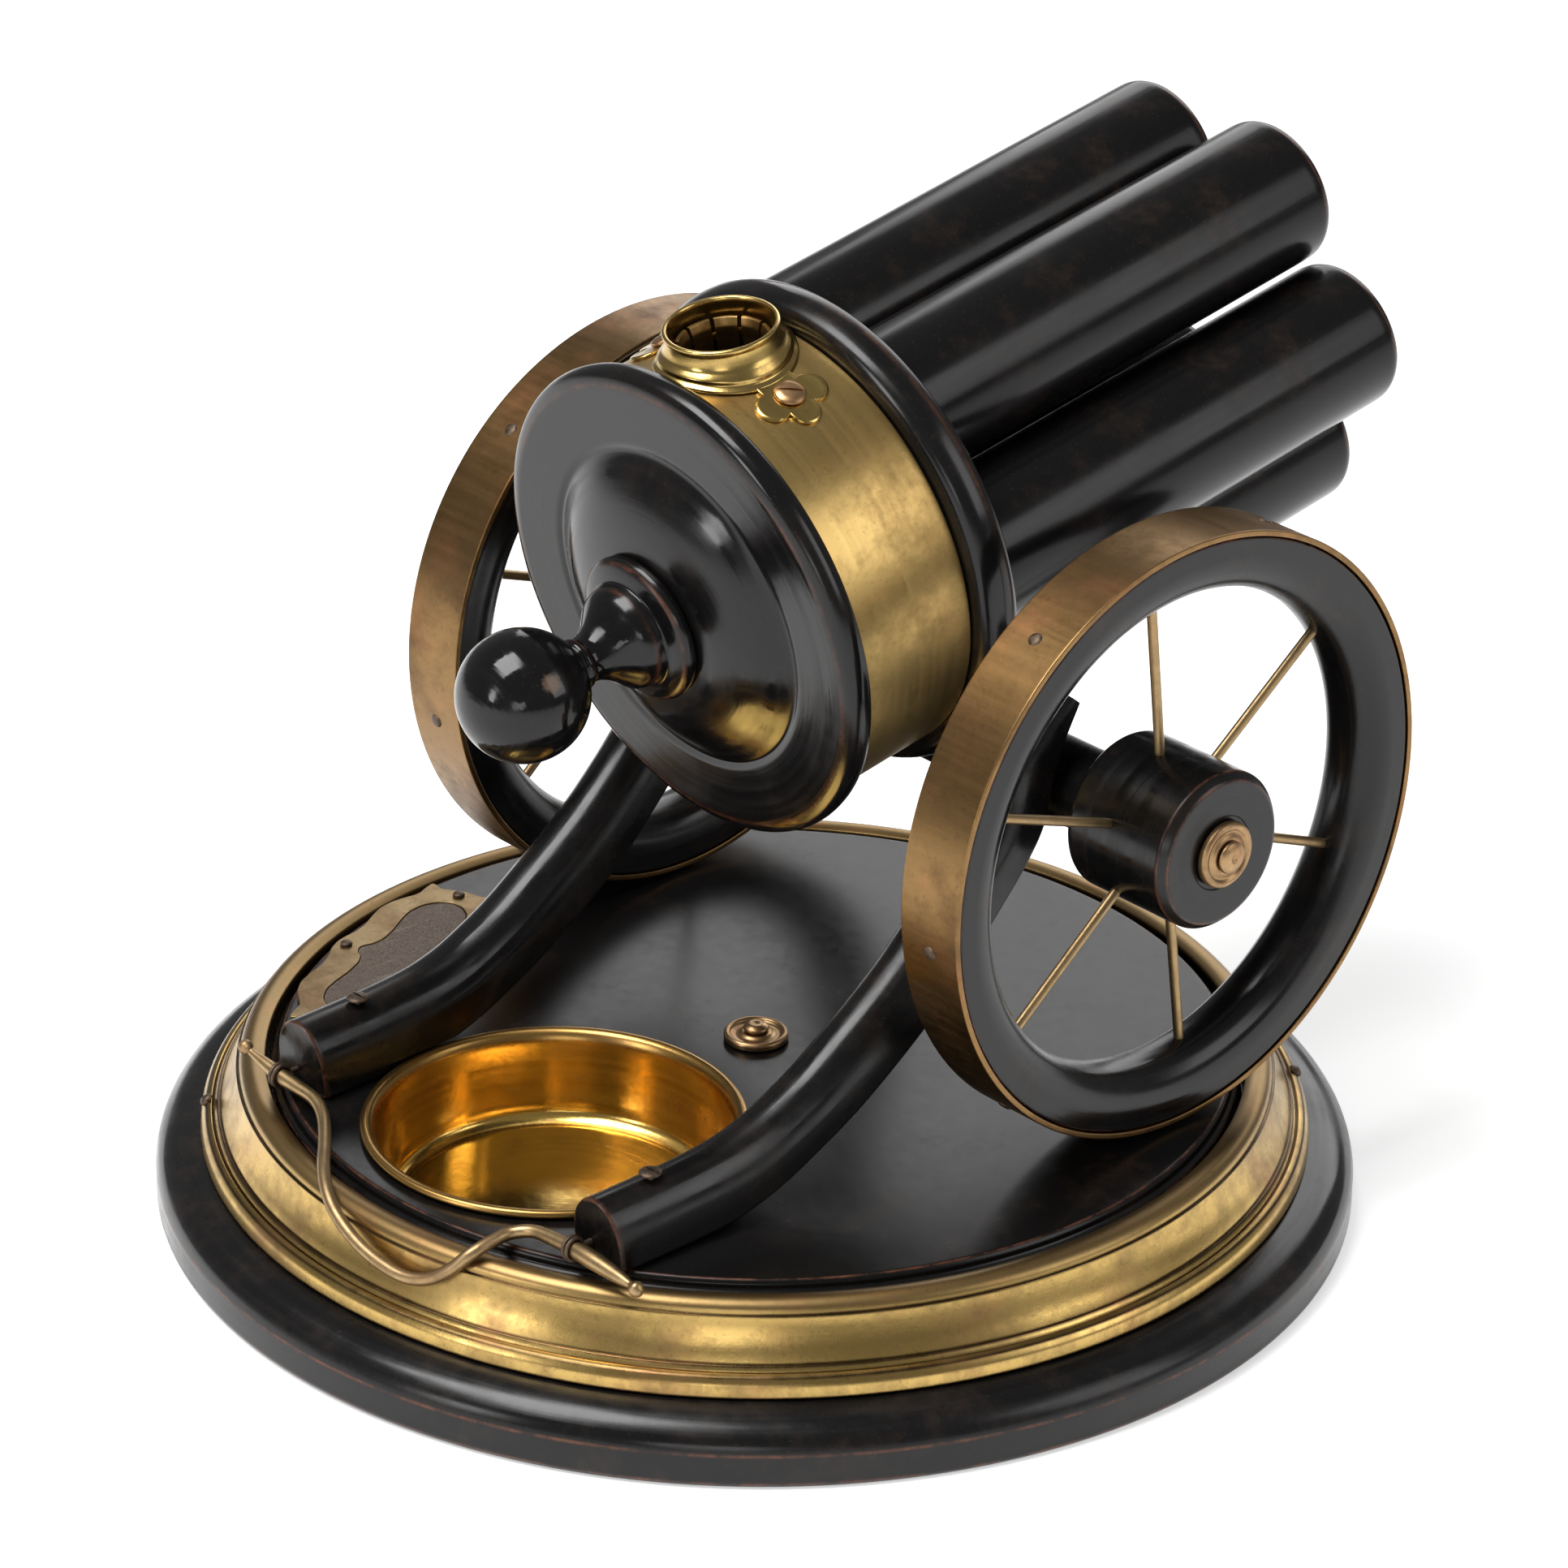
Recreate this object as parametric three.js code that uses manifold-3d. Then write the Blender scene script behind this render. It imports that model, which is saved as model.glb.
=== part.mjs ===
// A turned-wood and brass desk stand in the form of a wheeled field gun on a round turntable base.
// Millimetres, +Z up, +X toward the right wheel, +Y toward the muzzles, origin at the base's underside.
import * as THREE from "three";
import Module from "manifold-3d";

const wasm = await Module();
wasm.setup();

const GAP = 0.3;
const FINE = 32;
const ROUND = 24;
const SMALL = 16;
const PIN_SIDES = 8;

const BASE = { radius: 120, boss: 12, floor: 8 };
const DISC = { bottom: 24, top: 30, radius: 94.7 };
const PIVOT = { shank: 1.9, hole: 2.2 };
const CUP = { x: 1, y: -53.3, hole: 36.4, flange: 37.9, bottom: 12 };
const GUN = { y: -0.9, z: 134.4, tilt: 0.1842 };
const BAND = { radius: 45.5, sheet: 1, back: -14.7, front: 12.9 };
const BARREL = { radius: 15.2, bore: 11, circle: 31.5, back: 22.3, muzzle: 130.9, bottom: 50, count: 6 };
const COLLAR = { t: -0.5, bore: 9.9, lugAngle: 22.3 };
const WHEEL = { y: 38.4, z: 92.3, radius: 61.5, inner: 65.4, outer: 80.4, spokes: 6, spokePlane: 73 };
const HUB = { radius: 16, inner: 62, outer: 88.4, bore: 2.8 };
const AXLE = { radius: 8.3, half: 60.5, spindle: 2.4, boreStart: 50 };
const ARM = {
  endY: -80.8,
  topY: 30,
  seatWidth: 6.5,
  left: { centre: [42.2, 45.6], width: 14.4, crown: 1.04 },
  right: { centre: [47, 46.6], width: 13.5, crown: 0.95 },
};
const STRIKER = { x: -73, y: -33.4, dirX: -0.423, dirY: 0.906, scale: 0.95, top: 31.2 };

const COLOURS = {
  wood: 0x14100f,
  brass: 0xb08d3c,
  copper: 0x9c6236,
  dark: 0x3a2c22,
  pad: 0x6b6157,
};

const rad = (degrees) => (degrees * Math.PI) / 180;

// ---- solids ---------------------------------------------------------------------------------

// A closed solid from any three.js geometry: shared corners joined, faces turned outward.
function solidOf(geometry) {
  const plain = geometry.index ? geometry.toNonIndexed() : geometry;
  const at = plain.getAttribute("position");
  const seen = new Map();
  const points = [];
  const corners = [];
  for (let i = 0; i < at.count; i += 1) {
    const p = [at.getX(i), at.getY(i), at.getZ(i)];
    const key = p.map((v) => Math.round(v * 2000)).join();
    if (!seen.has(key)) {
      seen.set(key, points.length / 3);
      points.push(...p);
    }
    corners.push(seen.get(key));
  }
  const faces = [];
  let volume = 0;
  for (let i = 0; i < corners.length; i += 3) {
    const [a, b, c] = corners.slice(i, i + 3);
    if (a === b || b === c || c === a) continue;
    faces.push([a, b, c]);
    const [pa, pb, pc] = [a, b, c].map((k) => new THREE.Vector3(...points.slice(3 * k, 3 * k + 3)));
    volume += pa.dot(pb.cross(pc));
  }
  const outward = volume < 0 ? faces.map(([a, b, c]) => [a, c, b]) : faces;
  return new wasm.Manifold(
    new wasm.Mesh({
      numProp: 3,
      vertProperties: new Float32Array(points),
      triVerts: new Uint32Array(outward.flat()),
    }),
  );
}

const joined = (...solids) => solids.reduce((sum, next) => sum.add(next));
const cut = (body, ...tools) => tools.reduce((rest, tool) => rest.subtract(tool), body);

// A profile of [radius, height] pairs turned about Z. It starts and ends on the axis, or closes on itself.
function turned(profile, segments) {
  const first = profile[0];
  const last = profile[profile.length - 1];
  const onAxis = first[0] === 0 && last[0] === 0;
  const loop = onAxis ? profile : [...profile, first];
  const points = loop.map(([r, h]) => new THREE.Vector2(r, h));
  return solidOf(new THREE.LatheGeometry(points, segments).rotateX(Math.PI / 2));
}

// A round rod from one point to another, its end radii given.
function rod(from, to, radius, endRadius = radius, sides = PIN_SIDES) {
  const a = new THREE.Vector3(...from);
  const b = new THREE.Vector3(...to);
  const geometry = new THREE.CylinderGeometry(endRadius, radius, a.distanceTo(b), sides);
  const turn = new THREE.Quaternion().setFromUnitVectors(
    new THREE.Vector3(0, 1, 0),
    b.clone().sub(a).normalize(),
  );
  geometry.applyQuaternion(turn);
  const middle = a.clone().add(b).multiplyScalar(0.5);
  return solidOf(geometry.translate(middle.x, middle.y, middle.z));
}

// A flat plate: a closed outline of [x, y] pairs raised from one height to another.
function plate(outline, low, high, holes = []) {
  const shape = new THREE.Shape(outline.map(([x, y]) => new THREE.Vector2(x, y)));
  for (const hole of holes) {
    shape.holes.push(new THREE.Path(hole.map(([x, y]) => new THREE.Vector2(x, y))));
  }
  const geometry = new THREE.ExtrudeGeometry(shape, { depth: high - low, bevelEnabled: false });
  return solidOf(geometry.translate(0, 0, low));
}

// A skin over a row of rings that each have the same number of corners, with flat ends.
function lofted(rings) {
  const count = rings[0].length;
  const points = rings.flat();
  const faces = [];
  for (let i = 0; i + 1 < rings.length; i += 1) {
    for (let k = 0; k < count; k += 1) {
      const a = i * count + k;
      const b = i * count + ((k + 1) % count);
      faces.push(a, b, b + count, a, b + count, a + count);
    }
  }
  const tail = (rings.length - 1) * count;
  for (let k = 1; k + 1 < count; k += 1) {
    faces.push(0, k + 1, k, tail, tail + k, tail + k + 1);
  }
  const geometry = new THREE.BufferGeometry();
  geometry.setAttribute("position", new THREE.Float32BufferAttribute(points.flat(), 3));
  geometry.setIndex(faces);
  return solidOf(geometry);
}

// ---- frames of the sub-assemblies -------------------------------------------------------------

// Gun frame: +X stays right, +Z is the direction of the muzzles, -Y is up.
const gunMatrix = new THREE.Matrix4()
  .makeRotationX(GUN.tilt - Math.PI / 2)
  .setPosition(0, GUN.y, GUN.z);
const onGun = (solid) => solid.transform(gunMatrix.toArray());

// Wheel frame: +Z is outward along the axle, side is +1 for the right wheel and -1 for the left.
function onWheel(solid, side) {
  const matrix = new THREE.Matrix4()
    .makeRotationY((side * Math.PI) / 2)
    .setPosition(0, WHEEL.y, WHEEL.z);
  return solid.transform(matrix.toArray());
}

function wheelPoint(side, across, radius, degrees) {
  return [
    side * across,
    WHEEL.y + radius * Math.cos(rad(degrees)),
    WHEEL.z + radius * Math.sin(rad(degrees)),
  ];
}

// A point on the drum: angle from its top toward +X, distance from the gun axis, position along it.
function drumPoint(degrees, radius, t) {
  return [radius * Math.sin(rad(degrees)), -radius * Math.cos(rad(degrees)), t];
}

// ---- base --------------------------------------------------------------------------------------

const MOULDING_PINS = [-129, 54];

function mouldingPin(degrees, radius, headRadius, deep) {
  const c = Math.cos(rad(degrees));
  const s = Math.sin(rad(degrees));
  const at = (out) => [c * (109.3 + 0.64 * out), s * (109.3 + 0.64 * out), 17.4 + 0.77 * out];
  const shank = rod(at(deep), at(0.6), radius);
  if (!headRadius) return shank;
  return joined(shank, rod(at(GAP), at(0.9), headRadius, headRadius), rod(at(0.9), at(1.6), headRadius, 0.6));
}

function plinth() {
  const body = turned(
    [
      [0, 0], [119.5, 0], [120, 0.5], [120, 7.2], [119.1, 9.6], [116.6, 12.1], [113, 13.3],
      [109.5, 13.5], [108.9, 16.1], [105.8, 18.6], [102.1, 25.9], [101.1, 27.9], [98.9, 27.9],
      [98.9, 19.7], [97.2, 19.7], [97.2, BASE.floor],
      [BASE.boss, BASE.floor], [BASE.boss, DISC.bottom - GAP], [PIVOT.hole, DISC.bottom - GAP],
      [PIVOT.hole, 10], [0, 10],
    ],
    FINE,
  );
  return cut(body, ...MOULDING_PINS.map((a) => mouldingPin(a, 0.95, 0, -6)));
}

function brassMoulding() {
  const body = turned(
    [
      [110.9, 13.8], [110.3, 17], [109.3, 17.6], [107, 19.5], [105, 23], [103.5, 26.5], [102.3, 28.9],
      [100, 29.6], [97.6, 28.9], [97.6, 20], [98.5, 20], [98.5, 28.3], [101.4, 28.3], [102.5, 26.1],
      [106.2, 18.9], [109.3, 16.3], [109.9, 13.8],
    ],
    FINE,
  );
  return cut(body, ...MOULDING_PINS.map((a) => mouldingPin(a, 0.95, 0, -6)));
}

const pivotBolt = () =>
  turned(
    [[0, 10.3], [PIVOT.shank, 10.3], [PIVOT.shank, 32.2], [2.6, 32.2], [2.6, 32.7], [1.6, 33.4], [0, 33.6]],
    12,
  );

const centreRosette = () =>
  turned(
    [
      [PIVOT.hole, 30.3], [6.5, 30.3], [6.5, 31.5], [6.1, 31.9], [5.5, 31.9], [5, 31.3], [4.2, 31.1],
      [3.4, 31.2], [2.9, 31.8], [PIVOT.hole, 31.8],
    ],
    14,
  );

// ---- turntable ---------------------------------------------------------------------------------

function topDisc() {
  const body = turned(
    [
      [PIVOT.hole, DISC.bottom], [95.9, DISC.bottom], [96.3, 24.5], [96.3, 27.5], [95.2, 28.3],
      [95.2, 29.3], [DISC.radius, DISC.top], [PIVOT.hole, DISC.top],
    ],
    FINE,
  );
  return cut(body, rod([CUP.x, CUP.y, 20], [CUP.x, CUP.y, 34], CUP.hole, CUP.hole, ROUND));
}

const ashCup = () =>
  turned(
    [
      [0, CUP.bottom], [31, CUP.bottom], [33.2, 13.4], [33.9, 15.4], [35.5, 30.3], [37.5, 30.3],
      [CUP.flange, 30.8], [CUP.flange, 31.5], [37.2, 32], [36.2, 32], [35.1, 31.2], [34.7, 30],
      [33, 15.4], [32.4, 14], [31, 13.2], [29.6, 13.6], [28.4, 13.2], [0, 13.2],
    ],
    ROUND,
  ).translate([CUP.x, CUP.y, 0]);

// The match-striker's outline: [along, across] from its centre, one quarter, mirrored both ways.
const STRIKER_OUTER = [
  [0, 14.5], [3, 14.2], [6, 13.1], [10, 12.6], [15, 13.1], [19, 13.2], [23, 12], [26, 10.2], [28.3, 8.5],
  [31, 8.5], [34.2, 8.1], [34, 6.8], [32.6, 5.2], [33, 3], [33.6, 0],
];
const STRIKER_INNER = [
  [0, 9], [1.6, 8.4], [3, 7], [6, 6], [11, 6], [16, 6.6], [20, 6.7], [24, 5.4], [26.6, 3], [27.6, 0],
];
const STRIKER_PINS = [[0, 11.9], [31, 0], [0, -11.9], [-31, 0]];

function strikerPoint([along, across]) {
  const a = along * STRIKER.scale;
  const b = across * STRIKER.scale;
  return [
    STRIKER.x + a * STRIKER.dirX - b * STRIKER.dirY,
    STRIKER.y + a * STRIKER.dirY + b * STRIKER.dirX,
  ];
}

function strikerOutline(quarter, grow = 0) {
  const grown = quarter.map(([s, w]) => [s + (s > 20 ? grow : 0), w + (w > 0 ? grow : 0)]);
  const back = grown.slice(0, -1).reverse();
  const half = [...grown, ...back.map(([s, w]) => [s, -w])];
  const rest = [...half.slice(1, -1)].reverse().map(([s, w]) => [-s, w]);
  return [...half, ...rest].reverse().map(strikerPoint);
}

function strikerFrame() {
  const body = plate(
    strikerOutline(STRIKER_OUTER),
    DISC.top + GAP,
    STRIKER.top,
    [strikerOutline(STRIKER_INNER)],
  );
  const holes = STRIKER_PINS.map((pin) => {
    const [x, y] = strikerPoint(pin);
    return rod([x, y, 28], [x, y, 33], 0.9);
  });
  return cut(body, ...holes);
}

const strikerPad = () => plate(strikerOutline(STRIKER_INNER, -GAP), DISC.top + GAP, STRIKER.top - 0.2);

function strikerPin(index) {
  const [x, y] = strikerPoint(STRIKER_PINS[index]);
  const top = STRIKER.top + GAP;
  return joined(
    rod([x, y, DISC.top + GAP], [x, y, top + 0.2], 0.5),
    rod([x, y, top], [x, y, top + 0.5], 1.3, 1.3),
    rod([x, y, top + 0.5], [x, y, top + 0.9], 1.3, 0.5),
  );
}

// ---- trail arms and bar ------------------------------------------------------------------------

// Stations along an arm: [lower edge y, z, upper edge y, z], from the trail end to the upper end.
const ARM_STATIONS = [
  [-81, 30.3, -82.6, 44.6],
  [-66, 30.3, -67.6, 44.8],
  [-54, 30.8, -57.2, 45.3],
  [-46.5, 32.3, -50.2, 46.1],
  [-39, 34.8, -43.8, 47.7],
  [-31.5, 38.2, -37.6, 50.3],
  [-24.9, 41.5, -31.6, 53.3],
  [-18.2, 45.4, -25.4, 57.2],
  [-8.8, 51.8, -16.4, 63.2],
  [-1.4, 57.6, -9.2, 68.6],
  [4.8, 63.6, -3.2, 74],
  [10.2, 69.2, 1.6, 78.8],
  [16.2, 75.6, 7, 85],
  [21.6, 81.6, 11.8, 91.2],
  [26.4, 89.2, 15.6, 97.4],
  [29.2, 101.1, 19.4, 105.6],
  [34.6, 112.2, 30.6, 115.6],
];

const armOf = (side) => (side < 0 ? ARM.left : ARM.right);

// Distance of an arm's centre line from the middle of the gun.
function armCentre(side, y) {
  const [end, top] = armOf(side).centre;
  return end + ((top - end) * (y - ARM.endY)) / (ARM.topY - ARM.endY);
}

function armRing(side, [lowY, lowZ, topY, topZ]) {
  const half = armOf(side).width / 2;
  const { crown } = armOf(side);
  const outline = [
    [half - 0.8, 0], [half, 0.05], [half, 0.5], [half * 0.9, 0.72], [half * 0.6, 0.91], [0, 1],
    [-half * 0.6, 0.91], [-half * 0.9, 0.72], [-half, 0.5], [-half, 0.05], [-half + 0.8, 0],
  ];
  return outline.map(([across, up]) => {
    const y = lowY + (topY - lowY) * up * crown;
    const z = lowZ + (topZ - lowZ) * up * crown;
    return [side * armCentre(side, y) + across, y, z];
  });
}

const TRAIL_SCREWS = { "-1": [-41.2, -68.2, 44.2], 1: [47.6, -69, 43.2] };

// The inboard half of an arm's front edge reaches forward to carry the axle tree.
function axleSeat(side) {
  const middle = side * (armCentre(side, 20) - armOf(side).width / 2 + ARM.seatWidth / 2 + 0.5);
  const block = new THREE.BoxGeometry(ARM.seatWidth, 16, 10);
  return solidOf(block.rotateX(-0.2).translate(middle, 26.5, 93));
}

function trailArm(side) {
  const cheek = lofted(ARM_STATIONS.map((station) => armRing(side, station)));
  const body = joined(cheek, axleSeat(side));
  const [x, y, z] = TRAIL_SCREWS[side];
  return cut(
    body,
    rod([CUP.x, CUP.y, 28], [CUP.x, CUP.y, 32.4], CUP.flange + 0.6, CUP.flange + 0.6, ROUND),
    plate(strikerOutline(STRIKER_OUTER, 0.5), 28, STRIKER.top + GAP),
    rod([-70, WHEEL.y, WHEEL.z], [70, WHEEL.y, WHEEL.z], AXLE.radius + GAP, AXLE.radius + GAP, 24),
    rod([x, y, z - 3], [x, y, z + 4], 1),
    onGun(turned([[0, 12], [51, 12], [51, 22.6], [0, 22.6]], ROUND)),
  );
}

function trailScrew(side) {
  const [x, y, z] = TRAIL_SCREWS[side];
  return joined(
    rod([x, y, z - 2.6], [x, y, z + 2.2], 0.6),
    rod([x, y, z + 1.7], [x, y, z + 2.3], 2, 2, 12),
    rod([x, y, z + 2.3], [x, y, z + 2.9], 2, 1.2, 12),
  );
}

// The wire between the trail ends: [x, y, z, radius] from the left tip to the right tip.
const BAR_PATH = [
  [-55.2, -86.4, 36.6, 0.6],
  [-54.6, -86.4, 36.5, 1.3],
  [-53.8, -86.3, 36.3, 1.5],
  [-53, -86.3, 36.1, 1.2],
  [-52.4, -86.2, 35.9, 0.8],
  [-47.6, -86.1, 34.9, 1.3],
  [-43.4, -86, 34.2, 1.6],
  [-38, -86, 33.9, 1.4],
  [-31.9, -86.3, 33.6, 1.3],
  [-26.4, -88.6, 32.7, 1.3],
  [-19.1, -94, 32.4, 1.3],
  [-12.3, -99.6, 32.3, 1.3],
  [-6.7, -103.3, 30.8, 1.3],
  [-1.6, -105.2, 28.6, 1.3],
  [4.9, -106.1, 26.2, 1.3],
  [11.9, -106.2, 24.6, 1.3],
  [18.9, -105.4, 23.9, 1.3],
  [24.1, -103.8, 25, 1.3],
  [27.8, -101.6, 27.6, 1.3],
  [30.4, -98.2, 31.1, 1.3],
  [31, -93.4, 32.4, 1.3],
  [31.6, -89.4, 32.8, 1.3],
  [34.6, -86.8, 33.5, 1.3],
  [39.4, -86.2, 33.9, 1.4],
  [45.4, -86, 34.2, 1.6],
  [51, -86, 34.2, 1.8],
  [58.5, -86, 33.9, 1.3],
  [61.6, -86, 33.7, 0.8],
  [62.4, -86, 33.6, 1.2],
  [63.3, -86, 33.5, 1.6],
  [64.2, -86, 33.4, 1.3],
  [64.8, -86, 33.4, 0.6],
];

function trailBar() {
  const centres = BAR_PATH.map(([x, y, z]) => new THREE.Vector3(x, y, z));
  let across = new THREE.Vector3(0, 0, 1);
  const rings = centres.map((centre, i) => {
    const before = centres[Math.max(0, i - 1)];
    const after = centres[Math.min(centres.length - 1, i + 1)];
    const along = after.clone().sub(before).normalize();
    across = across.clone().addScaledVector(along, -across.dot(along)).normalize();
    const third = along.clone().cross(across);
    const radius = BAR_PATH[i][3];
    return Array.from({ length: PIN_SIDES }, (_, k) => {
      const angle = (2 * Math.PI * k) / PIN_SIDES;
      const p = centre
        .clone()
        .addScaledVector(across, radius * Math.cos(angle))
        .addScaledVector(third, radius * Math.sin(angle));
      return [p.x, p.y, p.z];
    });
  });
  return lofted(rings);
}

// A wire eye around the bar with a stem that ends at the arm's end face.
function barTie(side) {
  const x = side < 0 ? -43.4 : 45.4;
  const z = 34.2;
  const eye = solidOf(new THREE.TorusGeometry(2.4, 0.45, 5, 12).rotateY(Math.PI / 2).translate(x, -86, z));
  return joined(eye, rod([x, -83.9, z], [x, -81.5, z], 0.6));
}

// ---- axle and wheels ---------------------------------------------------------------------------

function axleTree() {
  const body = rod(
    [-AXLE.half, WHEEL.y, WHEEL.z],
    [AXLE.half, WHEEL.y, WHEEL.z],
    AXLE.radius,
    AXLE.radius,
    24,
  );
  const bores = [-1, 1].map((side) =>
    rod(
      [side * AXLE.boreStart, WHEEL.y, WHEEL.z],
      [side * 70, WHEEL.y, WHEEL.z],
      HUB.bore,
      HUB.bore,
      12,
    ),
  );
  const barrels = [];
  for (let i = 0; i < BARREL.count; i += 1) barrels.push(onGun(barrelEnvelope(i)));
  return cut(body, ...bores, ...barrels);
}

const axleSpindle = (side) =>
  onWheel(
    turned(
      [
        [0, 50.3], [AXLE.spindle, 50.3], [AXLE.spindle, 90.8], [3.3, 90.8], [3.3, 91.3], [2.2, 92], [0, 92.2],
      ],
      12,
    ),
    side,
  );

const hubWasher = (side) =>
  onWheel(
    turned(
      [
        [HUB.bore, 88.7], [6.7, 88.7], [6.7, 90], [6.2, 90.4], [5.4, 90.4], [4.9, 89.9],
        [3.7, 90.4], [HUB.bore, 90.4],
      ],
      14,
    ),
    side,
  );

const RIM = [
  [60, 65.7], [60, 80.1], [54.6, 80.1], [51.4, 79.1], [49.2, 76.7], [48.3, 72.9], [49.2, 69.1],
  [51.4, 66.7], [54.6, 65.7],
];

const SPOKE_ANGLES = { 1: [37, 97, 160.5, 219, 278, 338], "-1": [40, 100, 160, 220, 280, 340] };

function spoke(side, index, low, high, radius) {
  const angle = SPOKE_ANGLES[side][index];
  return rod(
    wheelPoint(side, WHEEL.spokePlane, low, angle),
    wheelPoint(side, WHEEL.spokePlane, high, angle),
    radius,
  );
}

function spokeHoles(side) {
  const holes = [];
  for (let i = 0; i < WHEEL.spokes; i += 1) holes.push(spoke(side, i, 13.2, 51.4, 1.35));
  return holes;
}

const wheelRim = (side) => cut(onWheel(turned(RIM, ROUND), side), ...spokeHoles(side));

function wheelHub(side) {
  const body = turned(
    [
      [HUB.bore, HUB.inner], [14.8, HUB.inner], [HUB.radius, 63], [HUB.radius, 86.9], [14.45, HUB.outer],
      [HUB.bore, HUB.outer],
    ],
    SMALL,
  );
  return cut(onWheel(body, side), ...spokeHoles(side));
}

const TYRE_PINS = { 1: [12, 67, 126, 186.5, 229, 304], "-1": [11, 71, 131, 191, 232, 311] };

function tyre(side) {
  const band = onWheel(
    turned(
      [
        [60.3, WHEEL.inner], [WHEEL.radius, WHEEL.inner], [WHEEL.radius, WHEEL.outer],
        [60.3, WHEEL.outer],
      ],
      ROUND,
    ),
    side,
  );
  const pins = TYRE_PINS[side].map((angle) =>
    rod(
      wheelPoint(side, WHEEL.spokePlane, 60.8, angle),
      wheelPoint(side, WHEEL.spokePlane, WHEEL.radius + 0.4, angle),
      1.4,
      0.9,
    ),
  );
  return joined(band, ...pins);
}

// ---- drum, barrels and collar ------------------------------------------------------------------

const barrelAngle = (index) => 30 + (360 / BARREL.count) * index;

function barrelCentre(index) {
  const [x, y] = drumPoint(barrelAngle(index), BARREL.circle, 0);
  return [x, y, 0];
}

const barrelEnvelope = (index) =>
  turned(
    [
      [0, BARREL.back - GAP], [BARREL.radius + GAP, BARREL.back - GAP],
      [BARREL.radius + GAP, BARREL.muzzle], [0, BARREL.muzzle],
    ],
    SMALL,
  ).translate(barrelCentre(index));

function barrel(index) {
  const { radius, bore, back, muzzle, bottom } = BARREL;
  return onGun(
    turned(
      [
        [0, back - 5], [8, back - 5], [8, back], [radius, back], [radius, muzzle - 0.8],
        [radius - 0.8, muzzle], [bore + 0.8, muzzle], [bore, muzzle - 0.8], [bore, bottom], [0, bottom],
      ],
      SMALL,
    ).translate(barrelCentre(index)),
  );
}

const collarHole = (radius) =>
  rod(drumPoint(0, 30, COLLAR.t), drumPoint(0, 60, COLLAR.t), radius, radius, SMALL);
const collarScrewHole = (side) =>
  rod(drumPoint(side * COLLAR.lugAngle, 40.5, -0.4), drumPoint(side * COLLAR.lugAngle, 52, -0.4), 1.4);
const drumScrewHole = () => rod(drumPoint(150, 40.5, -3.4), drumPoint(150, 52, -3.4), 1);
const drumHoles = () => [collarHole(COLLAR.bore), collarScrewHole(-1), collarScrewHole(1), drumScrewHole()];

function drumBand() {
  const inner = BAND.radius - BAND.sheet;
  const body = turned(
    [[inner, BAND.back], [BAND.radius, BAND.back], [BAND.radius, BAND.front], [inner, BAND.front]],
    ROUND,
  );
  return onGun(cut(body, ...drumHoles()));
}

// The wooden wall that the drum's brass sheet is wrapped around.
function drumWall() {
  const body = turned([[40, -8], [44.2, -8], [44.2, 12.9], [40, 12.9]], ROUND);
  return onGun(cut(body, ...drumHoles()));
}

function frontFlange() {
  const body = turned(
    [
      [0, 13.2], [47.6, 13.2], [49.4, 14.4], [50.3, 16.6], [50.3, 19.6], [49.4, 21.4], [48, 22], [0, 22],
    ],
    ROUND,
  );
  const sockets = [];
  for (let i = 0; i < BARREL.count; i += 1) {
    const [x, y] = barrelCentre(i);
    sockets.push(rod([x, y, 17], [x, y, 24], 8.3, 8.3, SMALL));
  }
  return onGun(cut(body, ...sockets));
}

// Turned about the drum's own radius at the collar: heights are distances from the gun axis.
function turnedOnTop(profile, segments) {
  const stand = new THREE.Matrix4().makeRotationX(Math.PI / 2).setPosition(0, 0, COLLAR.t);
  return turned(profile, segments).transform(stand.toArray());
}

// A three-lobed lug that follows the drum's curve.
function lug(side) {
  const lobes = [[14, -0.4, 4.4], [18.4, -5.1, 3.4], [18.4, 4.3, 3.4], [22, -0.4, 3.2], [17.8, -0.4, 4.4]];
  const prisms = lobes.map(([x, t, r]) => rod([side * x, -36, t], [side * x, -52, t], r, r, 12));
  const shell = turned([[45.8, -16], [46.6, -16], [46.6, 14], [45.8, 14]], 48);
  return joined(...prisms).intersect(shell);
}

function collar() {
  const ring = turnedOnTop(
    [
      [10.2, 42], [13.3, 42], [13.3, 46.9], [12.9, 47.6], [12.6, 48.6], [11.3, 49.2], [10.9, 50.8],
      [11.4, 51.7], [11, 52.3], [10.2, 52.1],
    ],
    18,
  );
  const drum = turned([[0, -20], [45.8, -20], [45.8, 20], [0, 20]], 48);
  const body = joined(cut(ring, drum), cut(lug(-1), collarHole(10.2)), cut(lug(1), collarHole(10.2)));
  return onGun(cut(body, collarScrewHole(-1), collarScrewHole(1)));
}

function fingerSocket() {
  const body = turnedOnTop(
    [[8, 37], [8.9, 37], [8.9, 47.4], [9.2, 48.9], [8.4, 48.9], [8, 47.4]],
    20,
  );
  const slits = [];
  for (let i = 0; i < 5; i += 1) {
    const c = Math.cos((Math.PI * i) / 5 + 0.157);
    const s = Math.sin((Math.PI * i) / 5 + 0.157);
    const wall = new THREE.BoxGeometry(24, 9, 0.5).rotateY(-Math.atan2(s, c));
    slits.push(solidOf(wall.translate(0, -45.6, COLLAR.t)));
  }
  return onGun(cut(body, ...slits));
}

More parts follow.
